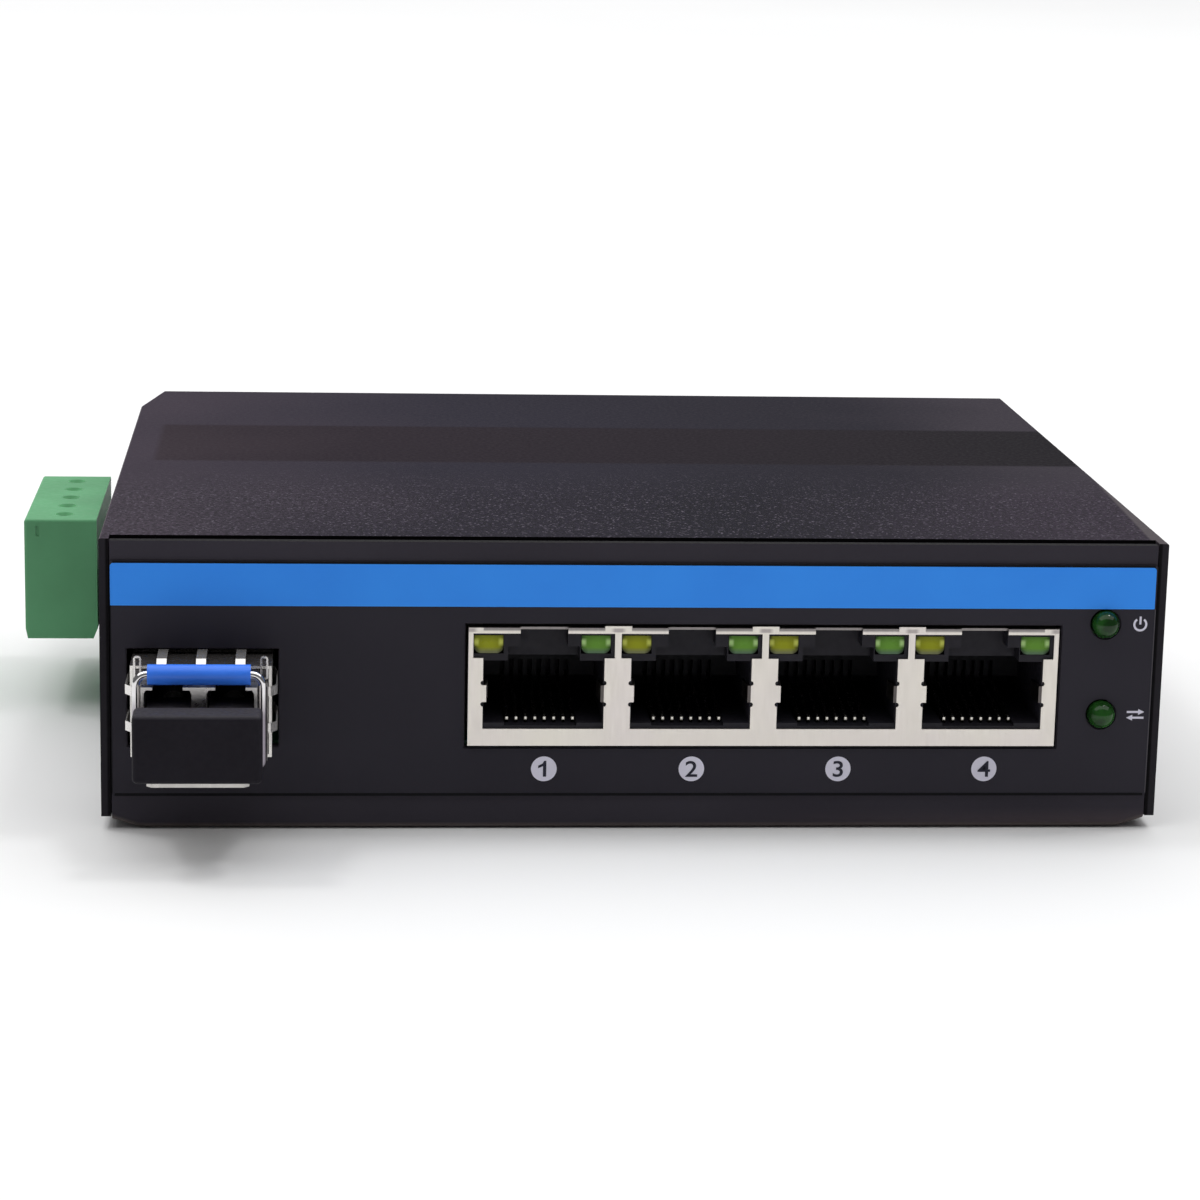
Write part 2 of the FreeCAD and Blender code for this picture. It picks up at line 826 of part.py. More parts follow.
def make_jack_housing():
    body = new_body("rj45_housing")
    inset = s.shield + s.shield_play
    outline = sketch(body, "XZ", (0, jack_front + s.shield, board_top))
    rectangle(outline, jack_left + inset, jack_right - inset, 0, s.jack_height - inset)
    pad(body, outline, s.jack_depth - s.shield - inset, turned=True)
    port_high = s.jack_height - s.port_drop
    ports = sketch(body, "XZ", (0, jack_front + s.shield, board_top))
    floor = port_half - s.port_ledge_width
    ledge = s.port_low + s.port_ledge_high
    for x in port_xs:
        floor_left = x - s.contact_shift - floor
        floor_right = x - s.contact_shift + floor
        polygon(ports, [
            (x - port_half, ledge), (floor_left, ledge), (floor_left, s.port_low),
            (floor_right, s.port_low), (floor_right, ledge), (x + port_half, ledge),
            (x + port_half, port_high), (x - port_half, port_high),
        ])
    pocket(body, ports, s.port_depth)
    latches = sketch(body, "XZ", (0, jack_front + s.shield, board_top))
    for x in port_xs:
        wide = s.latch_low_width / 2
        slim = s.latch_width / 2
        step = s.jack_height - s.latch_low_drop
        high = s.jack_height - inset
        polygon(latches, [
            (x - wide, port_high), (x + wide, port_high), (x + wide, step), (x + slim, step),
            (x + slim, high), (x - slim, high), (x - slim, step), (x - wide, step),
        ])
    pocket(body, latches, s.latch_depth)
    lamps = sketch(body, "XZ", (0, jack_front + s.shield, board_top))
    for x in port_xs:
        for offset in lamp_offsets:
            lamp_outline(lamps, x + offset, s.shield_play)
    pocket(body, lamps, s.lamp_length + s.shield_play)


def lamp_outline(drawing, x, play):
    half = s.lamp_width / 2 + play
    high = s.jack_height - s.lamp_drop + play
    rectangle(drawing, x - half, x + half, high - s.lamp_height - play * 2, high)


def make_jack_lamps(label, offset):
    body = new_body(label)
    outline = sketch(body, "XZ", (0, jack_front + s.shield, board_top))
    for x in port_xs:
        lamp_outline(outline, x + offset, 0)
    pad(body, outline, s.lamp_length, turned=True)
    low = jack_top - s.lamp_drop - s.lamp_height
    round_edges(body, s.lamp_corner, lambda box: along(box, "Y") and near(box.ZMin, low))


def make_jack_contacts():
    """Spring contacts, each a strip folded back over itself and rising into the port."""
    body = new_body("rj45_contacts")
    wire = s.contact_wire
    profile = sketch(body, "YZ", (contact_x - wire / 2, jack_front + s.contact_start, board_top + s.port_low))
    polygon(profile, [
        (s.contact_run, 0), (wire, 0), (0, wire), (0, wire * 2),
        (s.contact_reach, s.contact_rise), (s.contact_reach + wire / 2, s.contact_rise - wire),
        (wire * 2, wire * 1.5), (wire * 2, wire), (s.contact_run, wire),
    ])
    strip = pad(body, profile, wire)
    repeat_in_ports(body, strip)


def repeat_in_ports(body, feature):
    """Copies of the first contact's feature for every contact of every port."""
    row = repeat(body, [feature], "X", s.contact_pitch, CONTACTS)
    across = [line for line in body.Origin.OriginFeatures if line.Role == "X_Axis"]
    row.Direction2 = (across[0], [""])
    bind(row, "Length2", s.port_pitch * (PORTS - 1))
    row.Occurrences2 = PORTS


def make_jack_combs():
    """Moulded inserts at the back of the ports, slotted for the contacts' tips."""
    body = new_body("rj45_combs")
    face = jack_front + s.shield + s.comb_depth
    half = port_half - s.shield_play
    blocks = sketch(body, "XZ", (0, face, board_top))
    for x in port_xs:
        rectangle(blocks, x - half, x + half, s.comb_low, s.jack_height - s.port_drop - s.shield_play)
    pad(body, blocks, s.port_depth - s.comb_depth, turned=True)
    slot = sketch(body, "XZ", (contact_x, face, board_top))
    rectangle(slot, -s.comb_slot / 2, s.comb_slot / 2, s.comb_low, s.comb_low + s.comb_slot_high)
    repeat_in_ports(body, pocket(body, slot, s.comb_slot_depth))


def make_cage():
    body = new_body("sfp_cage")
    half = s.cage_width / 2
    wall = s.cage_sheet
    outline = sketch(body, "XZ", (sfp_x, cage_front, board_top))
    rectangle(outline, -half, half, 0, s.cage_height)
    pad(body, outline, cage_back - cage_front, turned=True)
    hollow = sketch(body, "XZ", (sfp_x, cage_front, board_top))
    rectangle(hollow, wall - half, half - wall, wall, s.cage_height - wall)
    pocket(body, hollow, cage_back - cage_front - wall)
    floor = sketch(body, "XY", (sfp_x, cage_back, board_top))
    side = s.host_width / 2 + wall
    rectangle(floor, -side, side, -s.host_length - wall * 3, -wall)
    pocket(body, floor, wall, turned=True)


def make_spring_fingers():
    """Grounding fingers folded back over the cage's edges to lean on the panel, and two rolled ears."""
    body = new_body("sfp_spring_fingers")
    half = s.cage_width / 2
    ears(body)
    for place_across in (-1, 0, 1):
        finger = sketch(body, "YZ", (sfp_x + place_across * s.finger_pitch, cage_front, cage_top))
        polygon(finger, finger_profile(s.finger_hook))
        pad(body, finger, s.finger_width, both=True)
    for sign in (-1, 1):
        for step in (-0.5, 0.5):
            height = board_top + s.cage_height / 2 + s.side_finger_rise + step * s.side_finger_pitch
            finger = sketch(body, "XY", (sfp_x + sign * half, cage_front, height))
            polygon(finger, [(sign * out, behind) for behind, out in finger_profile(s.side_finger_hook)])
            pad(body, finger, s.finger_width, both=True)


def finger_profile(hook):
    """Bent strip as pairs: distance behind the cage's edge, height over the cage's face."""
    thick = s.finger_thick
    bow = s.finger_bow
    return [
        (0, -hook), (-thick, -hook), (-thick, -s.finger_dip), (s.finger_front, bow + thick),
        (s.finger_crown, bow + thick), (s.finger_length, thick), (s.finger_length, 0),
        (s.finger_crown, bow), (s.finger_front, bow), (0, 0),
    ]


def ears(body):
    """A flat loop at each top corner of the cage's mouth."""
    wall = s.ear_wall
    low = -s.ear_hang
    high = low + s.ear_high
    loops = sketch(body, "XZ", (sfp_x, cage_front, cage_top))
    for sign in (-1, 1):
        outer = sign * (s.cage_width / 2 - s.ear_inset)
        inner = outer - sign * s.ear_width
        rectangle(loops, outer, inner, low, high)
        rectangle(loops, outer - sign * wall, inner + sign * wall, low + wall, high - wall)
    pad(body, loops, s.ear_thick)
    ends = (cage_top + low, cage_top + high)
    round_edges(body, s.ear_corner, lambda box: along(box, "Y") and any(near(box.ZMin, end) for end in ends))


def make_module():
    """Transceiver: a body in the cage, and a nose with two fibre ports and the bail's pivots."""
    body = new_body("sfp_module_shell")
    inset = s.cage_sheet + s.module_play
    inside = sketch(body, "XZ", (sfp_x, cage_front, board_top))
    rectangle(inside, -module_half, module_half, inset, s.cage_height - inset)
    pad(body, inside, module_back - cage_front, turned=True)
    collar = sketch(body, "XZ", (sfp_x, cage_front, board_top))
    rectangle(collar, -module_half, module_half, s.cage_sheet, s.collar_top)
    pad(body, collar, s.collar_depth)
    nose = sketch(body, "XZ", (sfp_x, cage_front, board_top))
    rectangle(nose, -nose_half, nose_half, -s.nose_low, s.nose_top)
    pad(body, nose, cage_front - nose_front)
    lip = sketch(body, "XY", (sfp_x, nose_front, board_top - s.nose_low))
    edge = s.lip_width / 2
    cut = s.lip_corner
    polygon(lip, [
        (-edge, 0), (-edge, cut - s.lip_ahead), (cut - edge, -s.lip_ahead),
        (edge - cut, -s.lip_ahead), (edge, cut - s.lip_ahead), (edge, 0),
    ])
    pad(body, lip, s.lip_thick)
    ports = sketch(body, "XZ", (sfp_x, nose_front, board_top))
    notches = sketch(body, "XZ", (sfp_x, nose_front, board_top))
    roof = s.nose_top - s.fibre_roof
    shoulder = roof - s.fibre_taper_high
    wide = s.fibre_width / 2
    slim = wide - s.fibre_taper
    for x in fibre_xs:
        polygon(ports, [
            (x - wide, s.fibre_floor), (x + wide, s.fibre_floor), (x + wide, shoulder),
            (x + slim, roof), (x - slim, roof), (x - wide, shoulder),
        ])
        rectangle(notches, x - s.fibre_notch / 2, x + s.fibre_notch / 2, roof, s.nose_top)
    pocket(body, ports, s.fibre_depth)
    pocket(body, notches, collar_front - nose_front)
    for sign in (-1, 1):
        pivot = sketch(body, "YZ", (sfp_x + sign * nose_half, bail_y, board_top))
        circle(pivot, 0, s.bail_pivot, s.bail_wire + s.bail_play)
        pocket(body, pivot, s.nose_wall, turned=sign < 0)


def make_optical_sleeves():
    body = new_body("optical_sleeves")
    drawing = sketch(body, "XZ", (sfp_x, nose_front + s.fibre_depth, board_top + s.fibre_floor))
    for x in fibre_xs:
        circle(drawing, x, s.fibre_width / 2, s.sleeve_radius)
    pad(body, drawing, s.sleeve_length)


def make_module_board():
    body = new_body("sfp_module_board")
    outline = sketch(body, "XZ", (sfp_x, module_back, board_top + s.tongue_height))
    rectangle(outline, -s.tongue_width / 2, s.tongue_width / 2, 0, s.tongue_thick)
    pad(body, outline, s.tongue_length, turned=True)


def make_host_connector():
    body = new_body("sfp_host_connector")
    outline = sketch(body, "XZ", (sfp_x, host_front, board_top))
    rectangle(outline, -s.host_width / 2, s.host_width / 2, 0, s.host_height)
    pad(body, outline, s.host_length, turned=True)
    slot = sketch(body, "XZ", (sfp_x, host_front, board_top + s.tongue_height))
    half = s.tongue_width / 2 + s.tongue_play
    rectangle(slot, -half, half, -s.tongue_play, s.tongue_thick + s.tongue_play)
    pocket(body, slot, s.tongue_length + s.tongue_play - s.module_gap)


def make_dust_plug():
    body = new_body("dust_plug")
    half = s.plug_width / 2
    low = s.lip_thick - s.nose_low + s.plug_lift
    plug_back = nose_front - s.plug_stand
    flange = sketch(body, "XZ", (sfp_x, plug_back, board_top))
    rectangle(flange, -half, half, low, low + s.plug_height)
    pad(body, flange, s.plug_depth)
    round_edges(body, s.plug_edge, lambda box: near(box.YMin, plug_back - s.plug_depth))
    prongs = sketch(body, "XZ", (sfp_x, plug_back, board_top + s.fibre_floor + s.prong_play))
    side = s.fibre_width / 2 - s.prong_play
    for x in fibre_xs:
        rectangle(prongs, x - side, x + side, 0, s.prong_height)
    pad(body, prongs, s.prong_length + s.plug_stand, turned=True)


def make_terminal_header():
    body = new_body("terminal_header")
    outline = sketch(body, "XZ", (header_left, terminal_y, board_top))
    rectangle(outline, 0, s.header_depth, 0, s.header_height)
    pad(body, outline, terminal_half * 2, both=True)
    cavity = sketch(body, "XZ", (header_left, terminal_y, board_top))
    rectangle(cavity, 0, s.header_cavity, s.header_wall, s.header_height - s.header_wall)
    pocket(body, cavity, (terminal_half - s.header_wall) * 2, both=True)
    holes = sketch(body, "YZ", (header_right, 0, board_top + s.pin_height))
    half = s.pin_wire / 2 + s.pin_play
    for y in pole_ys:
        rectangle(holes, y - half, y + half, -half, half)
    pocket(body, holes, s.header_depth - s.header_cavity)


def make_terminal_pins():
    body = new_body("terminal_pins")
    half = s.pin_wire / 2
    start = header_left + s.header_cavity - s.pin_reach
    profile = sketch(body, "XZ", (header_right + s.pin_step, pole_ys[0], board_top + s.pin_height))
    reach = header_right + s.pin_step - start
    down = -s.pin_height - s.board_thick - s.pin_tail
    polygon(profile, [(-reach, -half), (-half, -half), (-half, down), (half, down), (half, half),
                      (-reach, half)])
    pin = pad(body, profile, s.pin_wire, both=True)
    repeat(body, [pin], "Y", s.pole_pitch, POLES)


def make_terminal_plug():
    body = new_body("terminal_plug")
    block_right = header_left - s.plug_gap
    block_left = block_right - s.block_depth
    low = board_top - s.block_below
    half = terminal_half + s.block_end
    outline = sketch(body, "XZ", (block_left, terminal_y, low))
    edge = s.block_edge
    polygon(outline, [
        (edge / 2, 0), (s.block_depth - edge, 0), (s.block_depth, s.block_chamfer),
        (s.block_depth, s.block_height), (0, s.block_height), (0, s.block_chamfer),
    ])
    pad(body, outline, half * 2, both=True)
    top = low + s.block_height
    round_edges(body, s.block_round, lambda box: near(box.ZMin, top) and (
        near(box.XMax, block_left) or near(box.YMax, terminal_y - half)))
    mark = sketch(body, "XZ", (block_left + s.end_slot_set, terminal_y - half, top - s.end_slot_drop))
    rectangle(mark, 0, s.end_slot_width, -s.end_slot_high, 0)
    pocket(body, mark, s.end_slot_depth)
    fit = s.header_wall + s.tongue_fit
    tongue = sketch(body, "XZ", (block_right, terminal_y, board_top))
    rectangle(tongue, 0, s.plug_gap + s.header_cavity - s.tongue_fit, fit, s.header_height - fit)
    pad(body, tongue, (terminal_half - fit) * 2, both=True)
    deep = header_left + s.header_cavity - s.tongue_fit
    sockets = sketch(body, "YZ", (deep, 0, board_top + s.pin_height))
    entries = sketch(body, "YZ", (block_left, 0, board_top + s.wire_entry_height))
    side = s.pin_wire / 2 + s.socket_play
    mouth = s.wire_entry / 2
    for y in pole_ys:
        rectangle(sockets, y - side, y + side, -side, side)
        rectangle(entries, y - mouth, y + mouth, -mouth, mouth)
    pocket(body, sockets, s.pin_reach)
    pocket(body, entries, s.wire_entry_depth, turned=True)
    drivers = sketch(body, "XY", (block_right - s.driver_set, 0, low + s.block_height))
    for y in pole_ys:
        circle(drivers, 0, y, s.driver_hole)
    pocket(body, drivers, s.driver_depth)


def make_terminal_screws():
    body = new_body("terminal_screws")
    x = header_left - s.plug_gap - s.driver_set
    low = board_top - s.block_below + s.block_height - s.driver_depth
    heads = sketch(body, "XY", (x, 0, low))
    slots = sketch(body, "XY", (x, 0, low + s.clamp_screw_high))
    for y in pole_ys:
        radius = s.driver_hole - s.driver_play
        circle(heads, 0, y, radius)
        rectangle(slots, -s.clamp_screw_slot / 2, s.clamp_screw_slot / 2, y - radius, y + radius)
    pad(body, heads, s.clamp_screw_high)
    pocket(body, slots, s.clamp_screw_cut)


def make_terminal_clamps():
    body = new_body("terminal_clamps")
    start = header_left - s.plug_gap - s.block_depth + s.clamp_set
    frames = sketch(body, "YZ", (start, 0, board_top + s.wire_entry_height))
    outer = s.wire_entry / 2 - s.clamp_play
    inner = outer - s.clamp_wall
    for y in pole_ys:
        rectangle(frames, y - outer, y + outer, -outer, outer)
        rectangle(frames, y - inner, y + inner, -inner, inner)
    pad(body, frames, s.clamp_depth)


def flat(point):
    return FreeCAD.Vector(float(point[0]), float(point[1]), 0)


def rounded_path(drawing, points, radii):
    """Open chain of square corners, each turning clockwise round its own radius."""
    corners = [(float(x), float(y)) for x, y in points]
    turns = []
    for index, radius in enumerate(radii, start=1):
        (x0, y0), (x1, y1), (x2, y2) = corners[index - 1:index + 2]
        across, up = points[index]
        step_in = ((x1 > x0) - (x1 < x0), (y1 > y0) - (y1 < y0))
        step_out = ((x2 > x1) - (x2 < x1), (y2 > y1) - (y2 < y1))
        entry = (across - radius * step_in[0], up - radius * step_in[1])
        leave = (across + radius * step_out[0], up + radius * step_out[1])
        turns.append((entry, leave, radius, step_in, step_out))
    starts = [points[0]] + [leave for entry, leave, radius, step_in, step_out in turns]
    ends = [entry for entry, leave, radius, step_in, step_out in turns] + [points[-1]]
    for start, end in zip(starts, ends):
        line = drawing.addGeometry(Part.LineSegment(flat(start), flat(end)))
        fix_point(drawing, line, 1, *start)
        fix_point(drawing, line, 2, *end)
    for index, (entry, leave, radius, step_in, step_out) in enumerate(turns):
        centre = flat(entry) + FreeCAD.Vector(step_out[0], step_out[1], 0) * float(radius)
        reach = centre.add(FreeCAD.Vector(step_in[0] - step_out[0], step_in[1] - step_out[1], 0).normalize()
                           * float(radius))
        arc = drawing.addGeometry(Part.Arc(flat(entry), reach, flat(leave)))
        drawing.addConstraint(Sketcher.Constraint("Coincident", arc, 2, index, 2))
        drawing.addConstraint(Sketcher.Constraint("Coincident", arc, 1, index + 1, 1))
        constraint = Sketcher.Constraint("Radius", arc, float(radius))
        bind(drawing, f"Constraints[{drawing.addConstraint(constraint)}]", radius)


def make_bail_wire():
    """Round wire bent to a loop, its turned-in feet pivoting in the nose of the transceiver."""
    body = new_body("sfp_bail_wire")
    tip = nose_half - s.nose_wall + s.bail_play
    path = sketch(body, "XZ", (sfp_x, bail_y, board_top))
    rounded_path(path, [
        (-tip, s.bail_pivot), (-bail_half, s.bail_pivot), (-bail_half, bail_top),
        (bail_half, bail_top), (bail_half, s.bail_pivot), (tip, s.bail_pivot),
    ], [s.bail_foot, s.bail_bend, s.bail_bend, s.bail_foot])
    section = sketch(body, "YZ", (sfp_x - tip, bail_y, board_top + s.bail_pivot))
    circle(section, 0, 0, s.bail_wire)
    pipe = body.newObject("PartDesign::AdditivePipe", "AdditivePipe")
    pipe.Profile = section
    pipe.Spine = path
    body.Tip = pipe


def make_bail_grip():
    body = new_body("sfp_bail_grip")
    profile = sketch(body, "XZ", (sfp_x, bail_y, board_top + bail_top))
    half = bail_half - s.bail_bend - s.grip_end
    rectangle(profile, -half, half, s.bail_wire + s.grip_play, s.grip_radius)
    revolve(body, profile, "H_Axis")


def make_led(label, height):
    """Round lamp with a domed end, its flange behind the panel."""
    forward = (FreeCAD.Vector(1, 0, 0), 90)
    seat = front + s.sheet
    rim = s.led_radius + s.led_rim
    flange = solid(label + "_flange", "Cylinder", Radius=rim, Height=s.led_flange_thick)
    place(flange, led_x, seat + s.led_flange_thick, height, forward)
    stem = solid(label + "_stem", "Cylinder", Radius=s.led_radius, Height=s.sheet + s.led_proud)
    place(stem, led_x, seat, height, forward)
    dome = solid(label + "_dome", "Sphere", Radius=s.led_radius)
    place(dome, led_x, front - s.led_proud, height)
    gather(label, "MultiFuse", [flange, stem, dome])


def make_led_leads():
    body = new_body("led_leads")
    wire = s.lead_wire
    for height, run in ((led_heights[0], s.lead_run * 2), (led_heights[1], s.lead_run)):
        drop = board_top - height
        for step in (-0.5, 0.5):
            start = front + s.sheet + s.led_flange_thick
            bent = sketch(body, "YZ", (led_x + step * s.lead_pitch, start, height))
            polygon(bent, [
                (0, wire / 2), (run, wire / 2), (run, drop), (run - wire, drop),
                (run - wire, -wire / 2), (0, -wire / 2),
            ])
            pad(body, bent, wire, both=True)


def upright_block(label, x, y, width, depth, low, high):
    thing = block(label, x - width / 2, x + width / 2, y - depth / 2, y + depth / 2, low, high)
    thing.Label = label
    return thing


def make_board_parts():
    chip_y = jack_back + s.chip_behind
    chip_top = board_top + s.chip_high
    side = s.chip_side
    nodes.append(upright_block("switch_chip", jack_x, chip_y, side, side, board_top, chip_top))
    make_heat_sink(chip_y, chip_top)
    depth = s.transformer_depth
    row_y = jack_back + s.transformer_gap + depth / 2
    cores = [upright_block(f"core_{n}", x, row_y, s.transformer_width, depth, board_top,
                           board_top + s.transformer_high) for n, x in enumerate(port_xs)]
    gather("transformers", "Compound", cores)
    crystal_x = jack_x + s.chip_side / 2 + s.crystal_gap + s.crystal_length / 2
    nodes.append(upright_block("crystal", crystal_x, chip_y, s.crystal_length, s.crystal_width, board_top,
                               board_top + s.crystal_high))
    coil = new_body("power_inductor")
    square = sketch(coil, "XY", (header_right + s.coil_gap + s.coil_side / 2, terminal_y, board_top))
    half = s.coil_side / 2
    rectangle(square, -half, half, -half, half)
    pad(coil, square, s.coil_high)
    round_edges(coil, s.coil_corner, lambda box: along(box, "Z"))
    cans = new_body("capacitors")
    rounds = sketch(cans, "XY", (header_right + s.capacitor_gap + s.coil_side, terminal_y, board_top))
    for step in (-0.5, 0.5):
        circle(rounds, 0, step * s.capacitor_pitch, s.capacitor_radius)
    pad(cans, rounds, s.capacitor_high)


def make_heat_sink(chip_y, low):
    body = new_body("heat_sink")
    half = s.sink_pitch * (SINK_FINS - 1) / 2 + s.sink_fin / 2
    plate = sketch(body, "XY", (jack_x, chip_y, low))
    rectangle(plate, -half, half, -half, half)
    pad(body, plate, s.sink_base)
    fin = sketch(body, "XY", (jack_x, chip_y, low + s.sink_base))
    rectangle(fin, -half, s.sink_fin - half, -half, half)
    first = pad(body, fin, s.sink_high - s.sink_base)
    repeat(body, [first], "X", s.sink_pitch, SINK_FINS)


def make_rail_clip():
    """Extruded clip for a flat rail: a fixed hook on the right, a leaf spring on the left."""
    seat = s.clip_plate
    grip = seat + s.rail_thick + s.rail_play
    far = s.rail_width / 2 + s.rail_play
    body = new_body("din_bracket")
    profile = sketch(body, "XY", (0, back, clip_middle))
    outer = far + s.hook_thick
    polygon(profile, [
        (-s.rail_width / 2 - s.clip_end, 0), (outer, 0), (outer, grip + s.hook_thick),
        (far - s.hook_reach, grip + s.hook_thick), (far - s.hook_reach, grip), (far, grip), (far, seat),
        (-s.spring_root, seat), (-s.spring_root, seat - s.spring_sheet),
        (-s.rail_width / 2 - s.clip_end, seat - s.spring_sheet),
    ])
    pad(body, profile, s.clip_high, both=True)
    clip_holes(body)
    spring = new_body("din_spring")
    leaf = sketch(spring, "XY", (0, back, clip_middle))
    thin = s.spring_sheet
    polygon(leaf, [
        (-s.spring_root, seat), (-s.spring_root, seat - thin), (-far - thin, seat - thin),
        (-far - thin, grip + thin), (s.spring_reach - far, grip + thin), (s.spring_reach - far, grip),
        (-far, grip), (-far, seat),
    ])
    pad(spring, leaf, s.clip_high, both=True)
    clip_holes(spring)
    screws = new_body("din_screws")
    for radius, length, turned in ((s.clip_screw_radius, seat + s.sheet + s.clip_screw_tail, False),
                                   (s.clip_screw_head, s.clip_screw_head_high, True)):
        rounds = sketch(screws, "XZ", (0, back + seat, clip_middle))
        for x in (-s.clip_screw_half, s.clip_screw_half):
            circle(rounds, x, 0, radius)
        pad(screws, rounds, length, turned)
    for across, up in ((s.cross_reach, s.cross_width / 2), (s.cross_width / 2, s.cross_reach)):
        recess = sketch(screws, "XZ", (0, back + seat + s.clip_screw_head_high, clip_middle))
        for x in (-s.clip_screw_half, s.clip_screw_half):
            rectangle(recess, x - across, x + across, -up, up)
        pocket(screws, recess, s.cross_depth, turned=True)


def clip_holes(body):
    holes = sketch(body, "XZ", (0, back, clip_middle))
    for x in (-s.clip_screw_half, s.clip_screw_half):
        circle(holes, x, 0, s.clip_screw_radius + s.screw_play)
    pocket(body, holes, s.clip_plate)


def build_all():
    make_tray()
    make_cover()
    make_cover_screws()
    make_film()
    make_board()
    make_standoffs()
    make_board_screws()
    make_jack_shield()
    make_jack_housing()
    make_jack_lamps("rj45_lamps_yellow", lamp_offsets[0])
    make_jack_lamps("rj45_lamps_green", lamp_offsets[1])
    make_jack_contacts()
    make_jack_combs()
    make_cage()
    make_spring_fingers()
    make_module()
    make_optical_sleeves()
    make_module_board()
    make_host_connector()
    make_bail_wire()
    make_bail_grip()
    make_dust_plug()
    make_led("power_led", led_heights[0])
    make_led("link_led", led_heights[1])
    make_led_leads()
    make_terminal_header()
    make_terminal_pins()
    make_terminal_plug()
    make_terminal_screws()
    make_terminal_clamps()
    make_board_parts()
    make_rail_clip()


def check_and_write():
    doc.recompute()
    faults = [thing.Label for thing in doc.Objects if {"Invalid", "Error"} & set(thing.State)]
    faults += [node.Label for node in nodes if node.Shape.isNull() or not node.Shape.isValid()]
    if faults:
        raise RuntimeError("faulty: " + ", ".join(faults))
    os.makedirs("parts", exist_ok=True)
    for node in nodes:
        node.Shape.exportStep(os.path.join("parts", node.Label + ".step"))


build_all()
check_and_write()
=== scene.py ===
import math

import bmesh
import bpy
from mathutils import Matrix, Vector


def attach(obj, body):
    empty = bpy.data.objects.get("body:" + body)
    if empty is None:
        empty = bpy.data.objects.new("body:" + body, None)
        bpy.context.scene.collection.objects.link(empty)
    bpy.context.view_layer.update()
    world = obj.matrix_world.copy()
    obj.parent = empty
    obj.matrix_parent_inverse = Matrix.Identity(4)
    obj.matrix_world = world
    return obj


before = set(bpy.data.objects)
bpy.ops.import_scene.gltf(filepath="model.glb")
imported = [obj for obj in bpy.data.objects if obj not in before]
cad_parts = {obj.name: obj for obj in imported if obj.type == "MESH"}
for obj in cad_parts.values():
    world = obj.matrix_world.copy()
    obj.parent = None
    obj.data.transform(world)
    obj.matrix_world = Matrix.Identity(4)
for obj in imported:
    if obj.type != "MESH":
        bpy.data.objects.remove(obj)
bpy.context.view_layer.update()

MM = 0.001

# Planes and centres repeated from the part, in millimetres
BOX_HALF = 55.0
FILM_FRONT = -46.25
FILM_HALF = 53.9
FILM_LOW = 3.55
FILM_HIGH = 28.25
PORT_PITCH = 15.24
FIRST_PORT = -9.69
LAMP_CENTRES = {"yellow": -15.39, "green": -4.35}
LAMP_RANGE = (18.78, 20.65)
CONTACT_PITCH = 0.975
CONTACT_ROW = -9.958
DRIVER_X = (-64.0, -61.0)
DRIVER_Y = (3.4, 29.2)

# Where a look changes, in millimetres: both ends of a fade or of a span; the slant is a ratio
COVER_TOP = (30.3, 30.45)
COVER_LIT_SIDE = (55.1, 55.4)
COVER_LIT_SLANT = 0.04
COVER_EDGE_INSIDE = (54.38, 54.25)
STRIP_START = (-52.0, -51.2)
STRIP_DEPTH = (-1.8, 20.7)
CALM_START = (-24.0, -6.0)
TRAY_SKIRT = (2.2, 0.5)
TRAY_RIGHT = (8.0, 45.0)
TRAY_TOP = (29.0, 30.0)
LAMP_GLOW = (0.3, 1.5)
LAMP_GLINT = (1.16, 1.38)
LAMP_CORNER = (0.8, 1.4)
SHIELD_INSIDE = (-46.5, -46.3)
SHIELD_TAB_ACROSS = (5.5, 6.23)
SHIELD_TAB_HEIGHT = (13.6, 15.5)
SHIELD_TOP_ACROSS = (-6.2, 6.2)
SHIELD_TOP_HEIGHT = (21.12, 21.3)
SHIELD_JOINT_ACROSS = (7.25, 8.0)
SHIELD_JOINT_HEIGHT = (21.12, 21.4)
CONTACT_FRONT = (-44.2, -44.7)
CONTACT_TIP = (11.42, 11.52)
CONTACT_CREST = (0.13, 0.08)
SHELL_COLLAR = (-54.2, -53.8)
SHELL_ABOVE_PLUG = (14.5, 15.5)
SHELL_FOOT = (17.9, 16.3)
BAIL_ABOVE_PLUG = (14.6, 16.8)
DRIVER_HEIGHT = (19.0, 19.2)
TERMINAL_OUTSIDE = (-66.45, -66.7)

# Ink on the front film, and painted shadow and highlight lines along its edges, in millimetres
PRINT_THICK = 0.03
BAND_LEFT = -53.85
BAND_RIGHT = 53.76
BAND_LOW = 23.62
BAND_HIGH = 28.03
BAND_LOW_CORNER = 0.05
BAND_HIGH_CORNER = 0.35
SHADOW_LINE_WIDE = 0.28
EDGE_LINE_SLIM = 0.1
EDGE_LINE_CORNER = 0.3
DISC_CENTRES = (-9.49, 5.86, 21.22, 36.61)
DISC_Z = 6.44
DISC_RADIUS = 1.33
DISC_CORNERS = 48
FIGURE_ONE = (
    (0.25, -0.83), (0.25, 0.87), (0.03, 0.87), (-0.15, 0.57),
    (-0.60, 0.33), (-0.60, 0.07), (-0.09, 0.29), (-0.09, -0.83),
)
NUMERAL_SIZE = 2.4
NUMERAL_WIDEN = 1.16
NUMERAL_SWELL = 0.022
NUMERAL_HALF_THICK = 0.015
NUMERAL_LIFT = 0.016
MARK_X = 52.35
POWER_Z = 22.0
POWER_RING = (0.52, 0.74)
POWER_SWEEP = (125, 415)
POWER_BAR_HALF = 0.11
POWER_BAR_HIGH = 0.85
LINK_Z = 12.3
LINK_ARROW = (
    (-0.9, 0.42), (-0.9, 0.2), (0.3, 0.2), (0.3, 0.0), (0.95, 0.31), (0.3, 0.62), (0.3, 0.42),
)
RING_STEPS = 24
CORNER_STEPS = 6

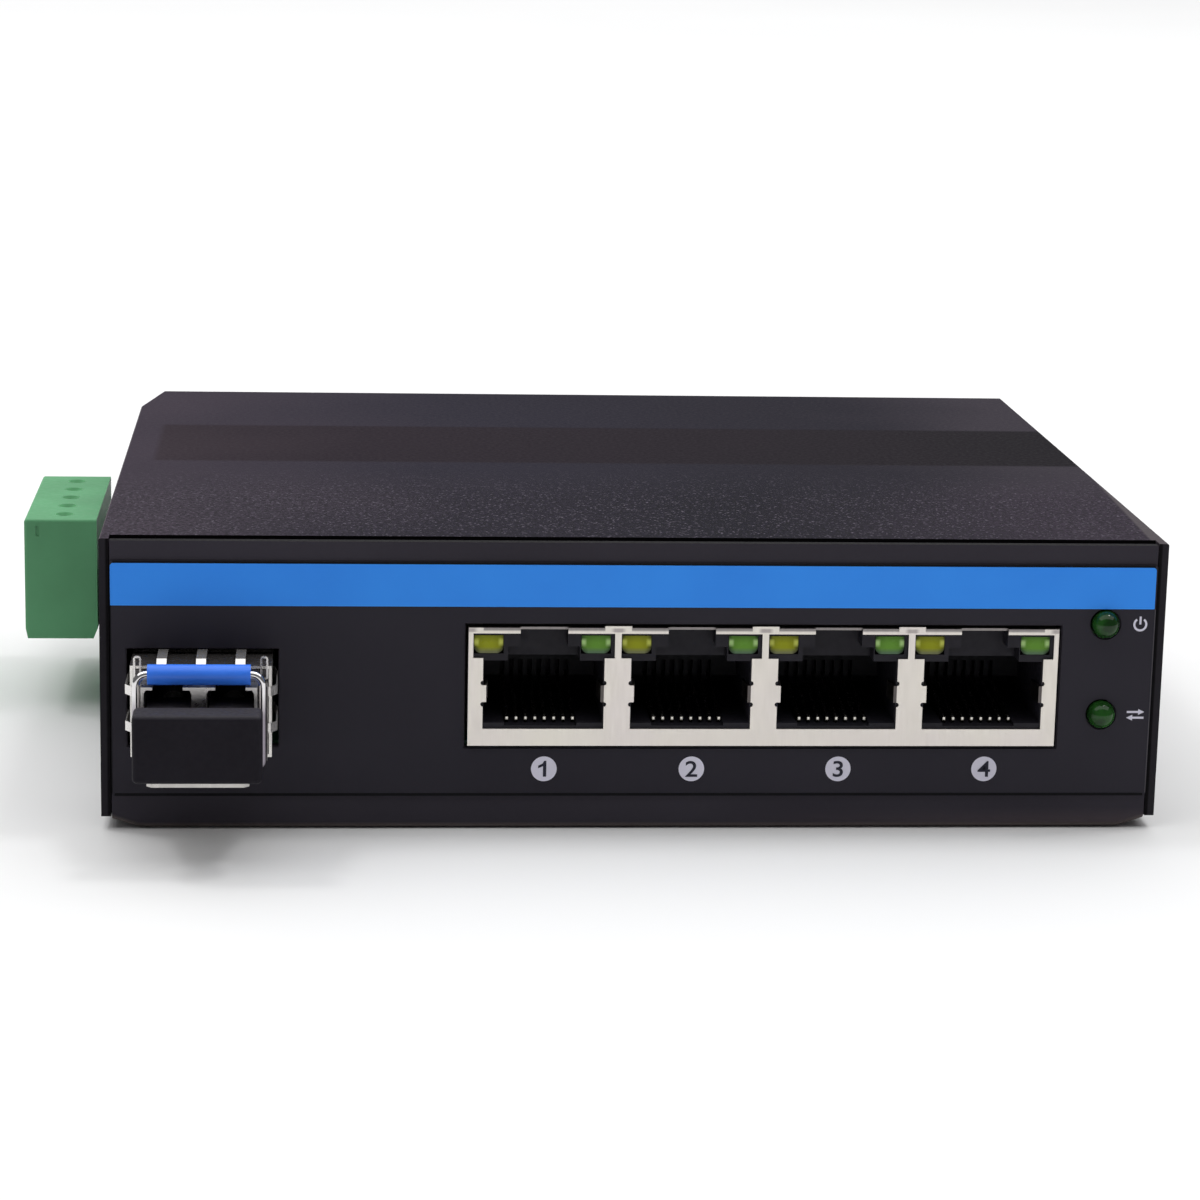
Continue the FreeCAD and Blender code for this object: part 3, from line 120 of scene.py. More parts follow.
# Stage in metres, except for the floor's drop below the object in millimetres
FLOOR_HALF = 8.0
FLOOR_BACK = 3.0
FLOOR_DROP = 0.1
FLOOR_CELLS = 4
WORLD_TINT = (0.97, 0.98, 1.0, 1.0)
WORLD_STRENGTH = 0.15
LIGHTS = {
    "overhead": {"place": (0, 1.2, 2.0), "target": (0, 1.2, 0), "size": 5.0, "power": 114},
    "left_lamp": {"place": (-0.80, 0.33, 1.6), "target": (0, 0, 0), "size": 0.25, "power": 3.6},
    "right_lamp": {"place": (0.59, 0.11, 1.6), "target": (0, 0, 0), "size": 0.25, "power": 3.6},
}

# Camera fitted to the photograph: place and lens in millimetres, clipping in metres
CAMERA_PLACE = (-31.667, -387.086, 101.580)
CAMERA_RIGHT = (0.99688, -0.07599, 0.02128)
CAMERA_DOWN = (0.00395, -0.22121, -0.97522)
CAMERA_FORWARD = (0.07881, 0.97226, -0.22022)
CAMERA_LENS = 102.607
CAMERA_SENSOR = 36.0
CAMERA_CLIP = (0.01, 50.0)

# Shader values: where most of a noise lies, which normals face the front, and a Mix node's colour sockets
NOISE_SPAN = (0.3, 0.7)
FRONT_FACING = (-0.6, -0.85)
MIX_COLOURS = (6, 7)
MIX_RESULT = 2


class Look:
    """A node material: one shader, the object's own coordinates, and textures wired into the shader."""

    def __init__(self, name, metallic=0.0, roughness=0.5, specular=0.5):
        self.material = bpy.data.materials.new(name)
        self.material.use_nodes = True
        self.tree = self.material.node_tree
        self.shader = self.tree.nodes["Principled BSDF"]
        self.shader.inputs["Metallic"].default_value = metallic
        self.shader.inputs["Roughness"].default_value = roughness
        self.shader.inputs["Specular IOR Level"].default_value = specular
        self.coordinates = self.tree.nodes.new("ShaderNodeTexCoord")
        self.place = self.coordinates.outputs["Object"]

    def join(self, source, target):
        self.tree.links.new(source, target)

    def stretched(self, stretch):
        mapping = self.tree.nodes.new("ShaderNodeMapping")
        mapping.inputs["Scale"].default_value = stretch
        self.join(self.place, mapping.inputs["Vector"])
        return mapping.outputs["Vector"]

    def noise(self, scale, detail=2.0, rough=0.5, stretch=None):
        texture = self.tree.nodes.new("ShaderNodeTexNoise")
        texture.inputs["Scale"].default_value = scale
        texture.inputs["Detail"].default_value = detail
        texture.inputs["Roughness"].default_value = rough
        self.join(self.stretched(stretch) if stretch else self.place, texture.inputs["Vector"])
        return texture.outputs["Fac"]

    def part_of(self, source, name):
        parts = self.tree.nodes.new("ShaderNodeSeparateXYZ")
        self.join(source, parts.inputs["Vector"])
        return parts.outputs[name]

    def axis(self, name):
        return self.part_of(self.place, name)

    def normal(self, name):
        return self.part_of(self.coordinates.outputs["Normal"], name)

    def faces_front(self):
        return self.spread(self.normal("Y"), *FRONT_FACING)

    def in_pitch(self, centre):
        """Distance to the right of the nearest port's repeat of a place that belongs to the first port."""
        half = PORT_PITCH / 2
        wrapped = self.math("WRAP", self.axis("X"), (centre + half) * MM, (centre - half) * MM)
        return self.math("SUBTRACT", wrapped, centre * MM)

    def spread(self, source, low, high, to_low=0.0, to_high=1.0):
        scale = self.tree.nodes.new("ShaderNodeMapRange")
        values = {"From Min": low, "From Max": high, "To Min": to_low, "To Max": to_high}
        for key, value in values.items():
            scale.inputs[key].default_value = value
        self.join(source, scale.inputs["Value"])
        return scale.outputs["Result"]

    def fade(self, source, low, high, to_low=0.0, to_high=1.0):
        """A spread between two lengths in millimetres."""
        return self.spread(source, low * MM, high * MM, to_low, to_high)

    def within(self, source, low, high, soft):
        """One between two lengths in millimetres, falling to nothing outside them."""
        return self.both(self.fade(source, low - soft, low), self.fade(source, high + soft, high))

    def both(self, first, second):
        """A mask that holds only where two masks hold."""
        return self.math("MULTIPLY", first, second)

    def ramp(self, source, stops):
        ramp = self.tree.nodes.new("ShaderNodeValToRGB")
        points = ramp.color_ramp.elements
        while len(points) < len(stops):
            points.new(0.5)
        for point, (position, colour) in zip(points, stops):
            point.position = position
            point.color = (*colour, 1.0)
        self.join(source, ramp.inputs["Fac"])
        return ramp.outputs["Color"]

    def mottle(self, source, first, second):
        """Two shades that follow a noise."""
        return self.ramp(source, list(zip(NOISE_SPAN, (first, second))))

    def math(self, operation, *values):
        step = self.tree.nodes.new("ShaderNodeMath")
        step.operation = operation
        for socket, value in zip(step.inputs, values):
            if isinstance(value, (int, float)):
                socket.default_value = value
            else:
                self.join(value, socket)
        return step.outputs["Value"]

    def mix(self, factor, first, second, blend="MIX"):
        mixer = self.tree.nodes.new("ShaderNodeMix")
        mixer.data_type = "RGBA"
        mixer.blend_type = blend
        self.join(factor, mixer.inputs["Factor"])
        for index, value in zip(MIX_COLOURS, (first, second)):
            if isinstance(value, tuple):
                mixer.inputs[index].default_value = (*value, 1.0)
            else:
                self.join(value, mixer.inputs[index])
        return mixer.outputs[MIX_RESULT]

    def colour(self, source):
        self.join(source, self.shader.inputs["Base Color"])

    def rough(self, source, low, high):
        """Roughness between two values that follows a noise."""
        self.join(self.spread(source, *NOISE_SPAN, low, high), self.shader.inputs["Roughness"])

    def bump(self, height, strength, depth):
        """Relief with a depth in millimetres."""
        bump = self.tree.nodes.new("ShaderNodeBump")
        bump.inputs["Strength"].default_value = strength
        bump.inputs["Distance"].default_value = depth * MM
        self.join(height, bump.inputs["Height"])
        self.join(bump.outputs["Normal"], self.shader.inputs["Normal"])


def tint(colour, factor):
    return tuple(min(1.0, channel * factor) for channel in colour)


def powder_coat():
    """Coarse dark coat with painted light on its top: a painted shine, lighter at both ends and at the front
    than at the back; a painted highlight along the right side and on the rounded side edges; and black
    painted shade on the lip's front face between the sides, for the gap above the panel. A smooth strip
    crosses the top, and edges that face the front are plain.
    """
    look = Look("box_paint", specular=0.08)
    grain = look.noise(scale=2100, detail=3, rough=0.62)
    cloud = look.noise(scale=38)
    sparkle = look.spread(look.noise(scale=3300, detail=1), 0.62, 0.74)
    along = look.axis("X")
    across = look.axis("Y")
    top = look.fade(look.axis("Z"), *COVER_TOP)
    started = look.both(look.fade(along, *STRIP_START), top)
    strip = look.both(look.within(across, *STRIP_DEPTH, soft=1.0), started)
    # Painted shine: the ramps below colour the top by its place from left to right, lighter near both ends
    # where light falls, and lighter at the front than at the back.
    waver = look.spread(cloud, *NOISE_SPAN, -0.06, 0.06)
    painted_sheen = look.math("ADD", look.fade(along, -BOX_HALF, BOX_HALF), waver)
    flank = look.mottle(cloud, (0.027, 0.0225, 0.0310), (0.035, 0.0290, 0.0390))
    front = look.ramp(painted_sheen, [
        (0.0, (0.063, 0.0485, 0.067)),
        (0.33, (0.0225, 0.0185, 0.0310)),
        (0.64, (0.0120, 0.0108, 0.0195)),
        (0.96, (0.041, 0.0305, 0.047)),
    ])
    back = look.ramp(painted_sheen, [
        (0.0, (0.039, 0.0295, 0.043)),
        (0.36, (0.0170, 0.0145, 0.0255)),
        (0.76, (0.0118, 0.0100, 0.0175)),
        (0.95, (0.033, 0.0275, 0.037)),
    ])
    # The smooth strip is painted lighter towards the left end by the same painted shine.
    smooth = look.ramp(painted_sheen, [
        (0.0, (0.0290, 0.0195, 0.0270)),
        (0.22, (0.0150, 0.0090, 0.0152)),
        (0.6, (0.0102, 0.0062, 0.0110)),
        (1.0, (0.0062, 0.0044, 0.0074)),
    ])
    pits = look.spread(grain, 0.6, 0.42)
    pitted = look.mix(pits, look.mix(top, flank, front), (0.35, 0.35, 0.36), "MULTIPLY")
    speckled = look.mix(sparkle, pitted, (0.12, 0.105, 0.135))
    calm = look.both(top, look.fade(across, *CALM_START, 0.0, 0.9))
    sides = look.spread(top, 0.0, 1.0, 0.55, 0.0)
    rear_paint = look.mix(look.math("ADD", calm, sides), speckled, look.mix(top, flank, back))
    striped = look.mix(strip, rear_paint, smooth)
    # Painted highlight: a pale line along the top's right side, where light catches the edge.
    slant = look.math("SUBTRACT", along, look.math("MULTIPLY", across, COVER_LIT_SLANT))
    lit_side = look.both(top, look.fade(slant, *COVER_LIT_SIDE))
    dressed = look.mix(lit_side, striped, (0.080, 0.069, 0.076))
    # Painted highlight: rounded edges that turn from the top to the sides are painted paler, for the light
    # they catch.
    sideways = look.spread(look.math("ABSOLUTE", look.normal("X")), 0.15, 0.4)
    bend_highlight = look.both(sideways, look.spread(look.normal("Z"), 0.3, 0.55))
    edged = look.mix(bend_highlight, dressed, (0.105, 0.090, 0.105))
    # Front faces of the side panels keep their own darker tone; between the sides, the lip's front face is
    # painted near black as shade for the gap above the panel.
    edge = look.mottle(cloud, (0.019, 0.017, 0.021), (0.024, 0.022, 0.027))
    shaded_inside = look.fade(look.math("ABSOLUTE", along), *COVER_EDGE_INSIDE)
    plain = look.mix(shaded_inside, edge, (0.0035, 0.0030, 0.0040))
    faces_front = look.faces_front()
    look.colour(look.mix(faces_front, edged, plain))
    look.rough(grain, 0.62, 0.8)
    smoothed = look.math("MAXIMUM", look.math("MULTIPLY", strip, 0.9), faces_front)
    relief = look.math("MULTIPLY", grain, look.math("SUBTRACT", 1.0, smoothed))
    look.bump(relief, strength=0.5, depth=0.12)
    return look.material


def smooth_coat():
    """The tray's finer coat, painted paler at its skirt and fold as a reflection of the floor, and painted
    near black on the edge under the cover as shade.
    """
    look = Look("tray_paint", specular=0.12)
    grain = look.noise(scale=2600)
    cloud = look.noise(scale=40)
    height = look.axis("Z")
    upward = look.normal("Z")
    paint = look.mottle(cloud, (0.0325, 0.0285, 0.0380), (0.040, 0.0355, 0.0465))
    # Painted reflection: the skirt towards the right end and faces turned downwards are painted paler, for
    # the floor they reflect.
    right_end = look.fade(look.axis("X"), *TRAY_RIGHT, 0.0, 0.8)
    skirt = look.both(look.fade(height, *TRAY_SKIRT), right_end)
    lit = look.mix(skirt, paint, (0.080, 0.062, 0.070))
    fold_reflection = look.mix(look.spread(upward, -0.15, -0.6), lit, (0.090, 0.076, 0.074))
    # Painted shade: the tray's upward edge under the cover is painted near black, for the shade of the gap.
    shaded_top_edge = look.both(look.fade(height, *TRAY_TOP), look.spread(upward, 0.5, 0.8))
    look.colour(look.mix(shaded_top_edge, fold_reflection, (0.006, 0.0055, 0.007)))
    look.rough(grain, 0.5, 0.64)
    look.bump(grain, strength=0.15, depth=0.03)
    return look.material


def printed_film():
    """Matt dark film with faint cloudiness."""
    look = Look("front_film", specular=0.1)
    cloud = look.noise(scale=28, detail=3)
    fine = look.noise(scale=2600)
    look.colour(look.mottle(cloud, (0.0240, 0.0217, 0.0296), (0.0315, 0.0288, 0.0382)))
    look.rough(fine, 0.42, 0.56)
    look.bump(fine, strength=0.12, depth=0.02)
    return look.material


def moulded(name, colour, rough, specular=0.4, grain=1400, depth=0.03, strength=0.25, spread=0.18):
    """Plastic with a fine grain and a slightly uneven colour."""
    look = Look(name, specular=specular)
    cloud = look.noise(scale=120, detail=3)
    fine = look.noise(scale=grain)
    look.colour(look.mottle(cloud, tint(colour, 1 - spread), tint(colour, 1 + spread)))
    look.rough(fine, *rough)
    look.bump(fine, strength, depth)
    return look.material


def ink(name, colour, rough, specular, spread):
    """A thin even print."""
    return moulded(name, colour, rough, specular, grain=2400, depth=0.01, strength=0.08, spread=spread)


def metal(name, colour, rough, stretch=(1, 1, 1), grain=900, strength=0.12, spread=0.1, metallic=1.0):
    """Bare or plated metal with fine lines along the stretch."""
    look = Look(name, metallic=metallic)
    lines = look.noise(scale=grain, detail=3, stretch=stretch)
    cloud = look.noise(scale=90, detail=3)
    look.colour(look.mottle(cloud, tint(colour, 1 - spread), tint(colour, 1 + spread)))
    look.rough(lines, *rough)
    look.bump(lines, strength, depth=0.02)
    return look.material


def tinted_lamp(name, centre, deep, bright, foot, glint):
    """Clear tinted window with painted light: a painted glow, brightest in the middle; painted shade towards
    its top and in its lower corners; painted glints at both sides; and a painted grey reflection along its
    rounded foot.
    """
    look = Look(name, specular=0.12)
    rise = look.fade(look.axis("Z"), *LAMP_RANGE)
    aside = look.math("ABSOLUTE", look.in_pitch(centre))
    cloud = look.noise(scale=900)
    waver = look.spread(cloud, *NOISE_SPAN, -0.12, 0.12)
    wavy = look.math("ADD", look.fade(aside, *LAMP_GLOW), waver)
    # Painted glow: brighter in the middle of the window and deeper towards its sides, then painted shade
    # towards its top.
    glow = look.ramp(wavy, [(0.0, bright), (0.7, tint(bright, 0.8)), (1.0, tint(deep, 0.5))])
    shaded = look.mix(look.spread(rise, 0.6, 1.0, 0.0, 0.5), glow, deep)
    # Painted glints where light catches both sides.
    belt = look.both(look.spread(rise, 0.36, 0.56), look.spread(rise, 0.88, 0.70))
    sides = look.both(look.within(aside, *LAMP_GLINT, soft=0.24), belt)
    glinting = look.mix(look.math("MULTIPLY", sides, 0.8), shaded, glint)
    # Painted grey reflection along the rounded foot, and painted shade in the lower corners.
    footed = look.mix(look.spread(rise, 0.34, 0.08, 0.0, 0.9), glinting, foot)
    shaded_corner = look.both(look.fade(aside, *LAMP_CORNER), look.spread(rise, 0.36, 0.1))
    look.colour(look.mix(shaded_corner, footed, tint(deep, 0.1)))
    look.rough(cloud, 0.22, 0.38)
    return look.material


def stamped_shield():
    """Tin plated sheet, bright on its front, with painted shade where it turns inwards or meets the panel:
    behind its front plane, on the right tabs, along the top over each port and where ports join.
    """
    look = Look("shield_steel", metallic=1.0)
    lines = look.noise(scale=1200, detail=3, stretch=(6, 1, 0.25))
    cloud = look.noise(scale=90, detail=3)
    height = look.axis("Z")
    offset = look.in_pitch(FIRST_PORT)
    plate = look.mottle(cloud, (0.74, 0.685, 0.655), (0.77, 0.735, 0.655))
    # Painted shade: the sheet behind its front plane is painted darker.
    shaded_inside = look.mix(look.fade(look.axis("Y"), *SHIELD_INSIDE), plate, (0.42, 0.39, 0.37))
    # Painted shade on the face of each right tab.
    tab_height = look.within(height, *SHIELD_TAB_HEIGHT, soft=0.05)
    shaded_right_tab = look.both(look.within(offset, *SHIELD_TAB_ACROSS, soft=0.02), tab_height)
    tabbed = look.mix(shaded_right_tab, shaded_inside, (0.11, 0.098, 0.095))
    # Painted shade along the top over each port and at the joins between ports.
    over_port = look.within(offset, *SHIELD_TOP_ACROSS, soft=0.1)
    shaded_top_edge = look.both(over_port, look.fade(height, *SHIELD_TOP_HEIGHT))
    edged = look.mix(shaded_top_edge, tabbed, (0.26, 0.24, 0.235))
    between = look.within(look.math("ABSOLUTE", offset), *SHIELD_JOINT_ACROSS, soft=0.45)
    shaded_joint = look.both(between, look.within(height, *SHIELD_JOINT_HEIGHT, soft=0.12))
    look.colour(look.mix(shaded_joint, edged, (0.42, 0.38, 0.37)))
    look.rough(lines, 0.28, 0.45)
    look.bump(lines, strength=0.1, depth=0.02)
    return look.material


def plated_contacts():
    """Plated strips with a painted highlight on top of the folded tips in front, and painted shade along the
    strips behind.
    """
    look = Look("contact_gold", metallic=1.0)
    lines = look.noise(scale=900, detail=3)
    tone = look.mottle(lines, (0.72, 0.69, 0.63), (0.80, 0.775, 0.71))
    front = look.fade(look.axis("Y"), *CONTACT_FRONT)
    tip = look.both(front, look.fade(look.axis("Z"), *CONTACT_TIP))
    along = look.math("WRAP", look.in_pitch(CONTACT_ROW), CONTACT_PITCH * MM, 0.0)
    aside = look.math("ABSOLUTE", look.math("SUBTRACT", along, CONTACT_PITCH / 2 * MM))
    # Painted highlight on top of each tip; everything else is painted dark as shade in the jack.
    tip_highlight = look.both(tip, look.fade(aside, *CONTACT_CREST))
    look.colour(look.mix(tip_highlight, (0.13, 0.118, 0.10), tone))
    look.rough(lines, 0.2, 0.34)
    look.bump(lines, strength=0.1, depth=0.02)
    return look.material


def cage_sheet():
    """Nickel plated sheet, darker on the top that lies back in the panel's shade."""
    look = Look("cage_steel", metallic=0.9)
    lines = look.noise(scale=1100, detail=3, stretch=(1, 4, 0.3))
    cloud = look.noise(scale=90, detail=3)
    plate = look.mottle(cloud, (0.63, 0.612, 0.585), (0.77, 0.748, 0.715))
    top = look.spread(look.normal("Z"), 0.6, 0.9)
    look.colour(look.mix(top, plate, (0.34, 0.315, 0.31)))
    look.rough(lines, 0.18, 0.34)
    look.bump(lines, strength=0.06, depth=0.02)
    return look.material


def cast_shell():
    """Plated die casting with a painted highlight above the plug, and painted shade on the collar that stands
    back behind the bail.
    """
    look = Look("module_metal", metallic=1.0)
    grain = look.noise(scale=1500, detail=3)
    cloud = look.noise(scale=90, detail=3)
    height = look.axis("Z")
    plate = look.mottle(cloud, (0.48, 0.46, 0.44), (0.58, 0.56, 0.54))
    faces_front = look.faces_front()
    collar = look.both(faces_front, look.fade(look.axis("Y"), *SHELL_COLLAR))
    # Painted highlight on front faces above the plug, weaker higher up.
    above_plug = look.both(faces_front, look.fade(height, *SHELL_ABOVE_PLUG))
    foot = look.fade(height, *SHELL_FOOT, 0.4, 1.0)
    lit = look.mix(look.both(above_plug, foot), plate, (0.97, 0.94, 0.92))
    look.colour(look.mix(collar, lit, (0.10, 0.095, 0.098)))
    look.rough(grain, 0.24, 0.4)
    look.bump(grain, strength=0.2, depth=0.02)
    return look.material


def bail_wire():
    """Bright drawn wire, darker where its legs stand in the shade between plug and cage."""
    look = Look("bail_steel", metallic=1.0)
    lines = look.noise(scale=1600, detail=3, stretch=(1, 1, 0.3))
    bright = look.mottle(lines, (0.70, 0.685, 0.69), (0.80, 0.785, 0.79))
    above_plug = look.fade(look.axis("Z"), *BAIL_ABOVE_PLUG)
    look.colour(look.mix(above_plug, (0.26, 0.235, 0.27), bright))
    look.rough(lines, 0.05, 0.13)
    look.bump(lines, strength=0.06, depth=0.02)
    return look.material


def plug_rubber():
    """Matt black moulding whose top is painted paler, for dust and for the light that falls on it."""
    look = Look("plug_rubber", specular=0.12)
    cloud = look.noise(scale=120, detail=3)
    fine = look.noise(scale=1800)
    dark = look.mottle(cloud, (0.0092, 0.0078, 0.0118), (0.0115, 0.0098, 0.0148))
    dust_and_light_top = look.mottle(cloud, (0.033, 0.0305, 0.0370), (0.041, 0.038, 0.0455))
    # Painted light and dust: faces turned upwards are painted paler.
    look.colour(look.mix(look.spread(look.normal("Z"), 0.15, 0.8), dark, dust_and_light_top))
    look.rough(fine, 0.5, 0.68)
    look.bump(fine, strength=0.3, depth=0.03)
    return look.material


def led_lens():
    """Dark green epoxy dome, clear and glossy."""
    look = Look("led_green", specular=0.3)
    cloud = look.noise(scale=700)
    look.colour(look.ramp(cloud, [(0.35, (0.005, 0.028, 0.004)), (0.65, (0.014, 0.075, 0.010))]))
    look.rough(cloud, 0.04, 0.08)
    return look.material


def terminal_plastic():
    """Green moulding with painted light: paler on the side that faces the box and in the driver holes, where
    shade would fall, and a painted highlight along its outer edge.
    """
    look = Look("terminal_green", specular=0.3)
    cloud = look.noise(scale=120, detail=3)
    fine = look.noise(scale=1300)
    along = look.axis("X")
    green = look.mottle(cloud, (0.103, 0.317, 0.151), (0.125, 0.387, 0.185))
    upright = look.spread(look.math("ABSOLUTE", look.normal("Z")), 0.6, 0.4)
    in_depth = look.within(look.axis("Y"), *DRIVER_Y, soft=0.02)
    row = look.both(look.within(along, *DRIVER_X, soft=0.02), in_depth)
    lit_hole_walls = look.both(upright, look.fade(look.axis("Z"), *DRIVER_HEIGHT))
    # Painted highlight along the block's outer edge.
    edged = look.mix(look.fade(along, *TERMINAL_OUTSIDE), green, (0.15, 0.43, 0.21))
    # Painted light: faces turned towards the box, and the hole sides in the driver holes, are painted paler
    # than the shade they stand in.
    lit_box_side = look.mix(look.spread(look.normal("X"), 0.4, 0.9), edged, (0.80, 1.0, 0.86))
    look.colour(look.mix(look.both(row, lit_hole_walls), lit_box_side, (0.45, 0.95, 0.56)))
    look.rough(fine, 0.46, 0.62)
    look.bump(fine, strength=0.22, depth=0.03)
    return look.material


LOOKS = {
    "box_paint": powder_coat(),
    "tray_paint": smooth_coat(),
    "front_film": printed_film(),
    "shield_steel": stamped_shield(),
    "contact_gold": plated_contacts(),
    "cage_steel": cage_sheet(),
    "module_metal": cast_shell(),
    "bail_steel": bail_wire(),
    "plug_rubber": plug_rubber(),
    "led_green": led_lens(),
    "terminal_green": terminal_plastic(),
}
MOULDED = {
    "comb_black": {"colour": (0.0085, 0.0076, 0.0110), "rough": (0.5, 0.64), "specular": 0.2},
    "jack_plastic": {"colour": (0.0140, 0.0125, 0.0180), "rough": (0.5, 0.64), "specular": 0.25},
    "bail_blue": {"colour": (0.039, 0.205, 0.96), "rough": (0.3, 0.45), "specular": 0.45,
                  "grain": 1100, "depth": 0.02, "strength": 0.15, "spread": 0.12},
    "board_green": {"colour": (0.008, 0.075, 0.028), "rough": (0.3, 0.42), "specular": 0.5},
    "chip_black": {"colour": (0.012, 0.012, 0.0135), "rough": (0.45, 0.6)},
    "sleeve_ceramic": {"colour": (0.8, 0.79, 0.75), "rough": (0.2, 0.3), "specular": 0.5},
}
INKS = {
    "band_blue": {"colour": (0.041, 0.297, 1.0), "rough": (0.4, 0.5), "specular": 0.15, "spread": 0.04},
    "print_pale": {"colour": (0.72, 0.70, 0.81), "rough": (0.45, 0.55), "specular": 0.2, "spread": 0.05},
    "print_dark": {"colour": (0.02, 0.02, 0.035), "rough": (0.45, 0.55), "specular": 0.2, "spread": 0.05},
    # The grey below paints the highlight line on the film's right edge.
    "print_grey": {"colour": (0.070, 0.066, 0.076), "rough": (0.45, 0.55), "specular": 0.2, "spread": 0.2},
    # The black below paints the shadow lines along the film's edges.
    "print_black": {"colour": (0.004, 0.004, 0.0055), "rough": (0.5, 0.6), "specular": 0.1, "spread": 0.1},
}
METALS = {
    "finger_steel": {"colour": (0.74, 0.715, 0.70), "rough": (0.14, 0.28), "stretch": (1, 4, 0.3),
                     "grain": 1100, "strength": 0.06, "metallic": 0.75},
    # Terminal screws: dull steel painted dim green, for the shade and the green reflection in their holes.
    "screw_dull": {"colour": (0.20, 0.36, 0.25), "rough": (0.5, 0.65)},
    "bright_steel": {"colour": (0.60, 0.60, 0.60), "rough": (0.22, 0.36)},
    "plain_aluminium": {"colour": (0.56, 0.565, 0.575), "rough": (0.28, 0.42), "stretch": (1, 1, 12),
                        "grain": 1300, "strength": 0.2},
}
# Lamp colours, all painted light: deep and bright give the painted glow and shade, foot the painted
# reflection along the foot, glint the painted glints.
LAMPS = {
    "lamp_yellow": {"centre": LAMP_CENTRES["yellow"],
                    "deep": (0.085, 0.090, 0.015), "bright": (0.30, 0.325, 0.012),
                    "foot": (0.16, 0.165, 0.095), "glint": (0.58, 0.62, 0.12)},
    "lamp_green": {"centre": LAMP_CENTRES["green"],
                   "deep": (0.034, 0.090, 0.018), "bright": (0.130, 0.300, 0.036),
                   "foot": (0.095, 0.15, 0.10), "glint": (0.46, 0.68, 0.27)},
}
for make, rows in ((moulded, MOULDED), (ink, INKS), (metal, METALS), (tinted_lamp, LAMPS)):
    LOOKS.update({name: make(name, **row) for name, row in rows.items()})

# Nodes whose look differs from that of their slot
NODE_LOOKS = {
    "chassis_tray": "tray_paint",
    "rj45_combs": "comb_black",
    "sfp_spring_fingers": "finger_steel",
    "terminal_screws": "screw_dull",
}


def add_mesh(name, build, look, body="housing"):
    """A mesh piece drawn in millimetres in the part's frame, riding on a body."""
    mesh = bpy.data.meshes.new(name)
    shape = bmesh.new()
    build(shape)
    bmesh.ops.scale(shape, vec=(MM, MM, MM), verts=shape.verts)
    bmesh.ops.recalc_face_normals(shape, faces=shape.faces)
    shape.to_mesh(mesh)
    shape.free()
    mesh.materials.append(LOOKS[look])
    piece = bpy.data.objects.new(name, mesh)
    bpy.context.scene.collection.objects.link(piece)
    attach(piece, body)


def front_plate(outlines, back):
    """Flat shapes drawn in X and Z, standing on the plane y = back and raised towards the viewer."""

    def build(shape):
        for outline in outlines:
            corners = [shape.verts.new((x, back, z)) for x, z in outline]
            shape.faces.new(corners)
        raised = bmesh.ops.extrude_face_region(shape, geom=list(shape.faces))
        verts = [item for item in raised["geom"] if isinstance(item, bmesh.types.BMVert)]
        bmesh.ops.translate(shape, vec=(0, -PRINT_THICK, 0), verts=verts)

    return build


def add_ink(name, outlines, look, back=FILM_FRONT):
    add_mesh(name, front_plate(outlines, back), look)


def rectangle(x0, x1, z0, z1):
    return [(x0, z0), (x1, z0), (x1, z1), (x0, z1)]


def arc(x, z, radius, start, end, steps):
    angles = [math.radians(start + (end - start) * n / steps) for n in range(steps + 1)]
    return [(x + radius * math.cos(a), z + radius * math.sin(a)) for a in angles]


def ring_part(x, z, inner, outer, start, end):
    return arc(x, z, outer, start, end, RING_STEPS) + arc(x, z, inner, end, start, RING_STEPS)


def round_box(x0, x1, z0, z1, low, high):
    """A rectangle with its lower and upper corners rounded."""
    return (
        arc(x1 - low, z0 + low, low, -90, 0, CORNER_STEPS)
        + arc(x1 - high, z1 - high, high, 0, 90, CORNER_STEPS)
        + arc(x0 + high, z1 - high, high, 90, 180, CORNER_STEPS)
        + arc(x0 + low, z0 + low, low, 180, 270, CORNER_STEPS)
    )


def add_band_and_border():
    band = round_box(BAND_LEFT, BAND_RIGHT, BAND_LOW, BAND_HIGH, BAND_LOW_CORNER, BAND_HIGH_CORNER)
    add_ink("blue_band", [band], "band_blue")
    end = FILM_HALF - EDGE_LINE_CORNER
    side_low = FILM_LOW + EDGE_LINE_CORNER
    # Painted shadow: thin black lines along the film's lower edge, above the band and down its left side.
    border = [
        rectangle(-end, end, FILM_LOW, FILM_LOW + SHADOW_LINE_WIDE),
        rectangle(-end, end, BAND_HIGH, FILM_HIGH),
        rectangle(-FILM_HALF, -FILM_HALF + EDGE_LINE_SLIM, side_low, BAND_LOW),
    ]
    add_ink("film_shadow_line", border, "print_black")
    # Painted highlight: a thin grey line down the film's right edge.
    edge = rectangle(FILM_HALF - EDGE_LINE_SLIM, FILM_HALF, side_low, BAND_LOW)
    add_ink("film_highlight_line", [edge], "print_grey")


def add_port_numbers():
    turn = 360 / DISC_CORNERS
    for number, x in enumerate(DISC_CENTRES, start=1):
        disc = arc(x, DISC_Z, DISC_RADIUS, 0, 360 - turn, DISC_CORNERS - 1)
        add_ink(f"port_disc_{number}", [disc], "print_pale")
        if number > 1:
            add_numeral(number, x)
    one = [(DISC_CENTRES[0] + right, DISC_Z + up) for right, up in FIGURE_ONE]
    add_ink("numeral_1", [one], "print_dark", FILM_FRONT - PRINT_THICK)


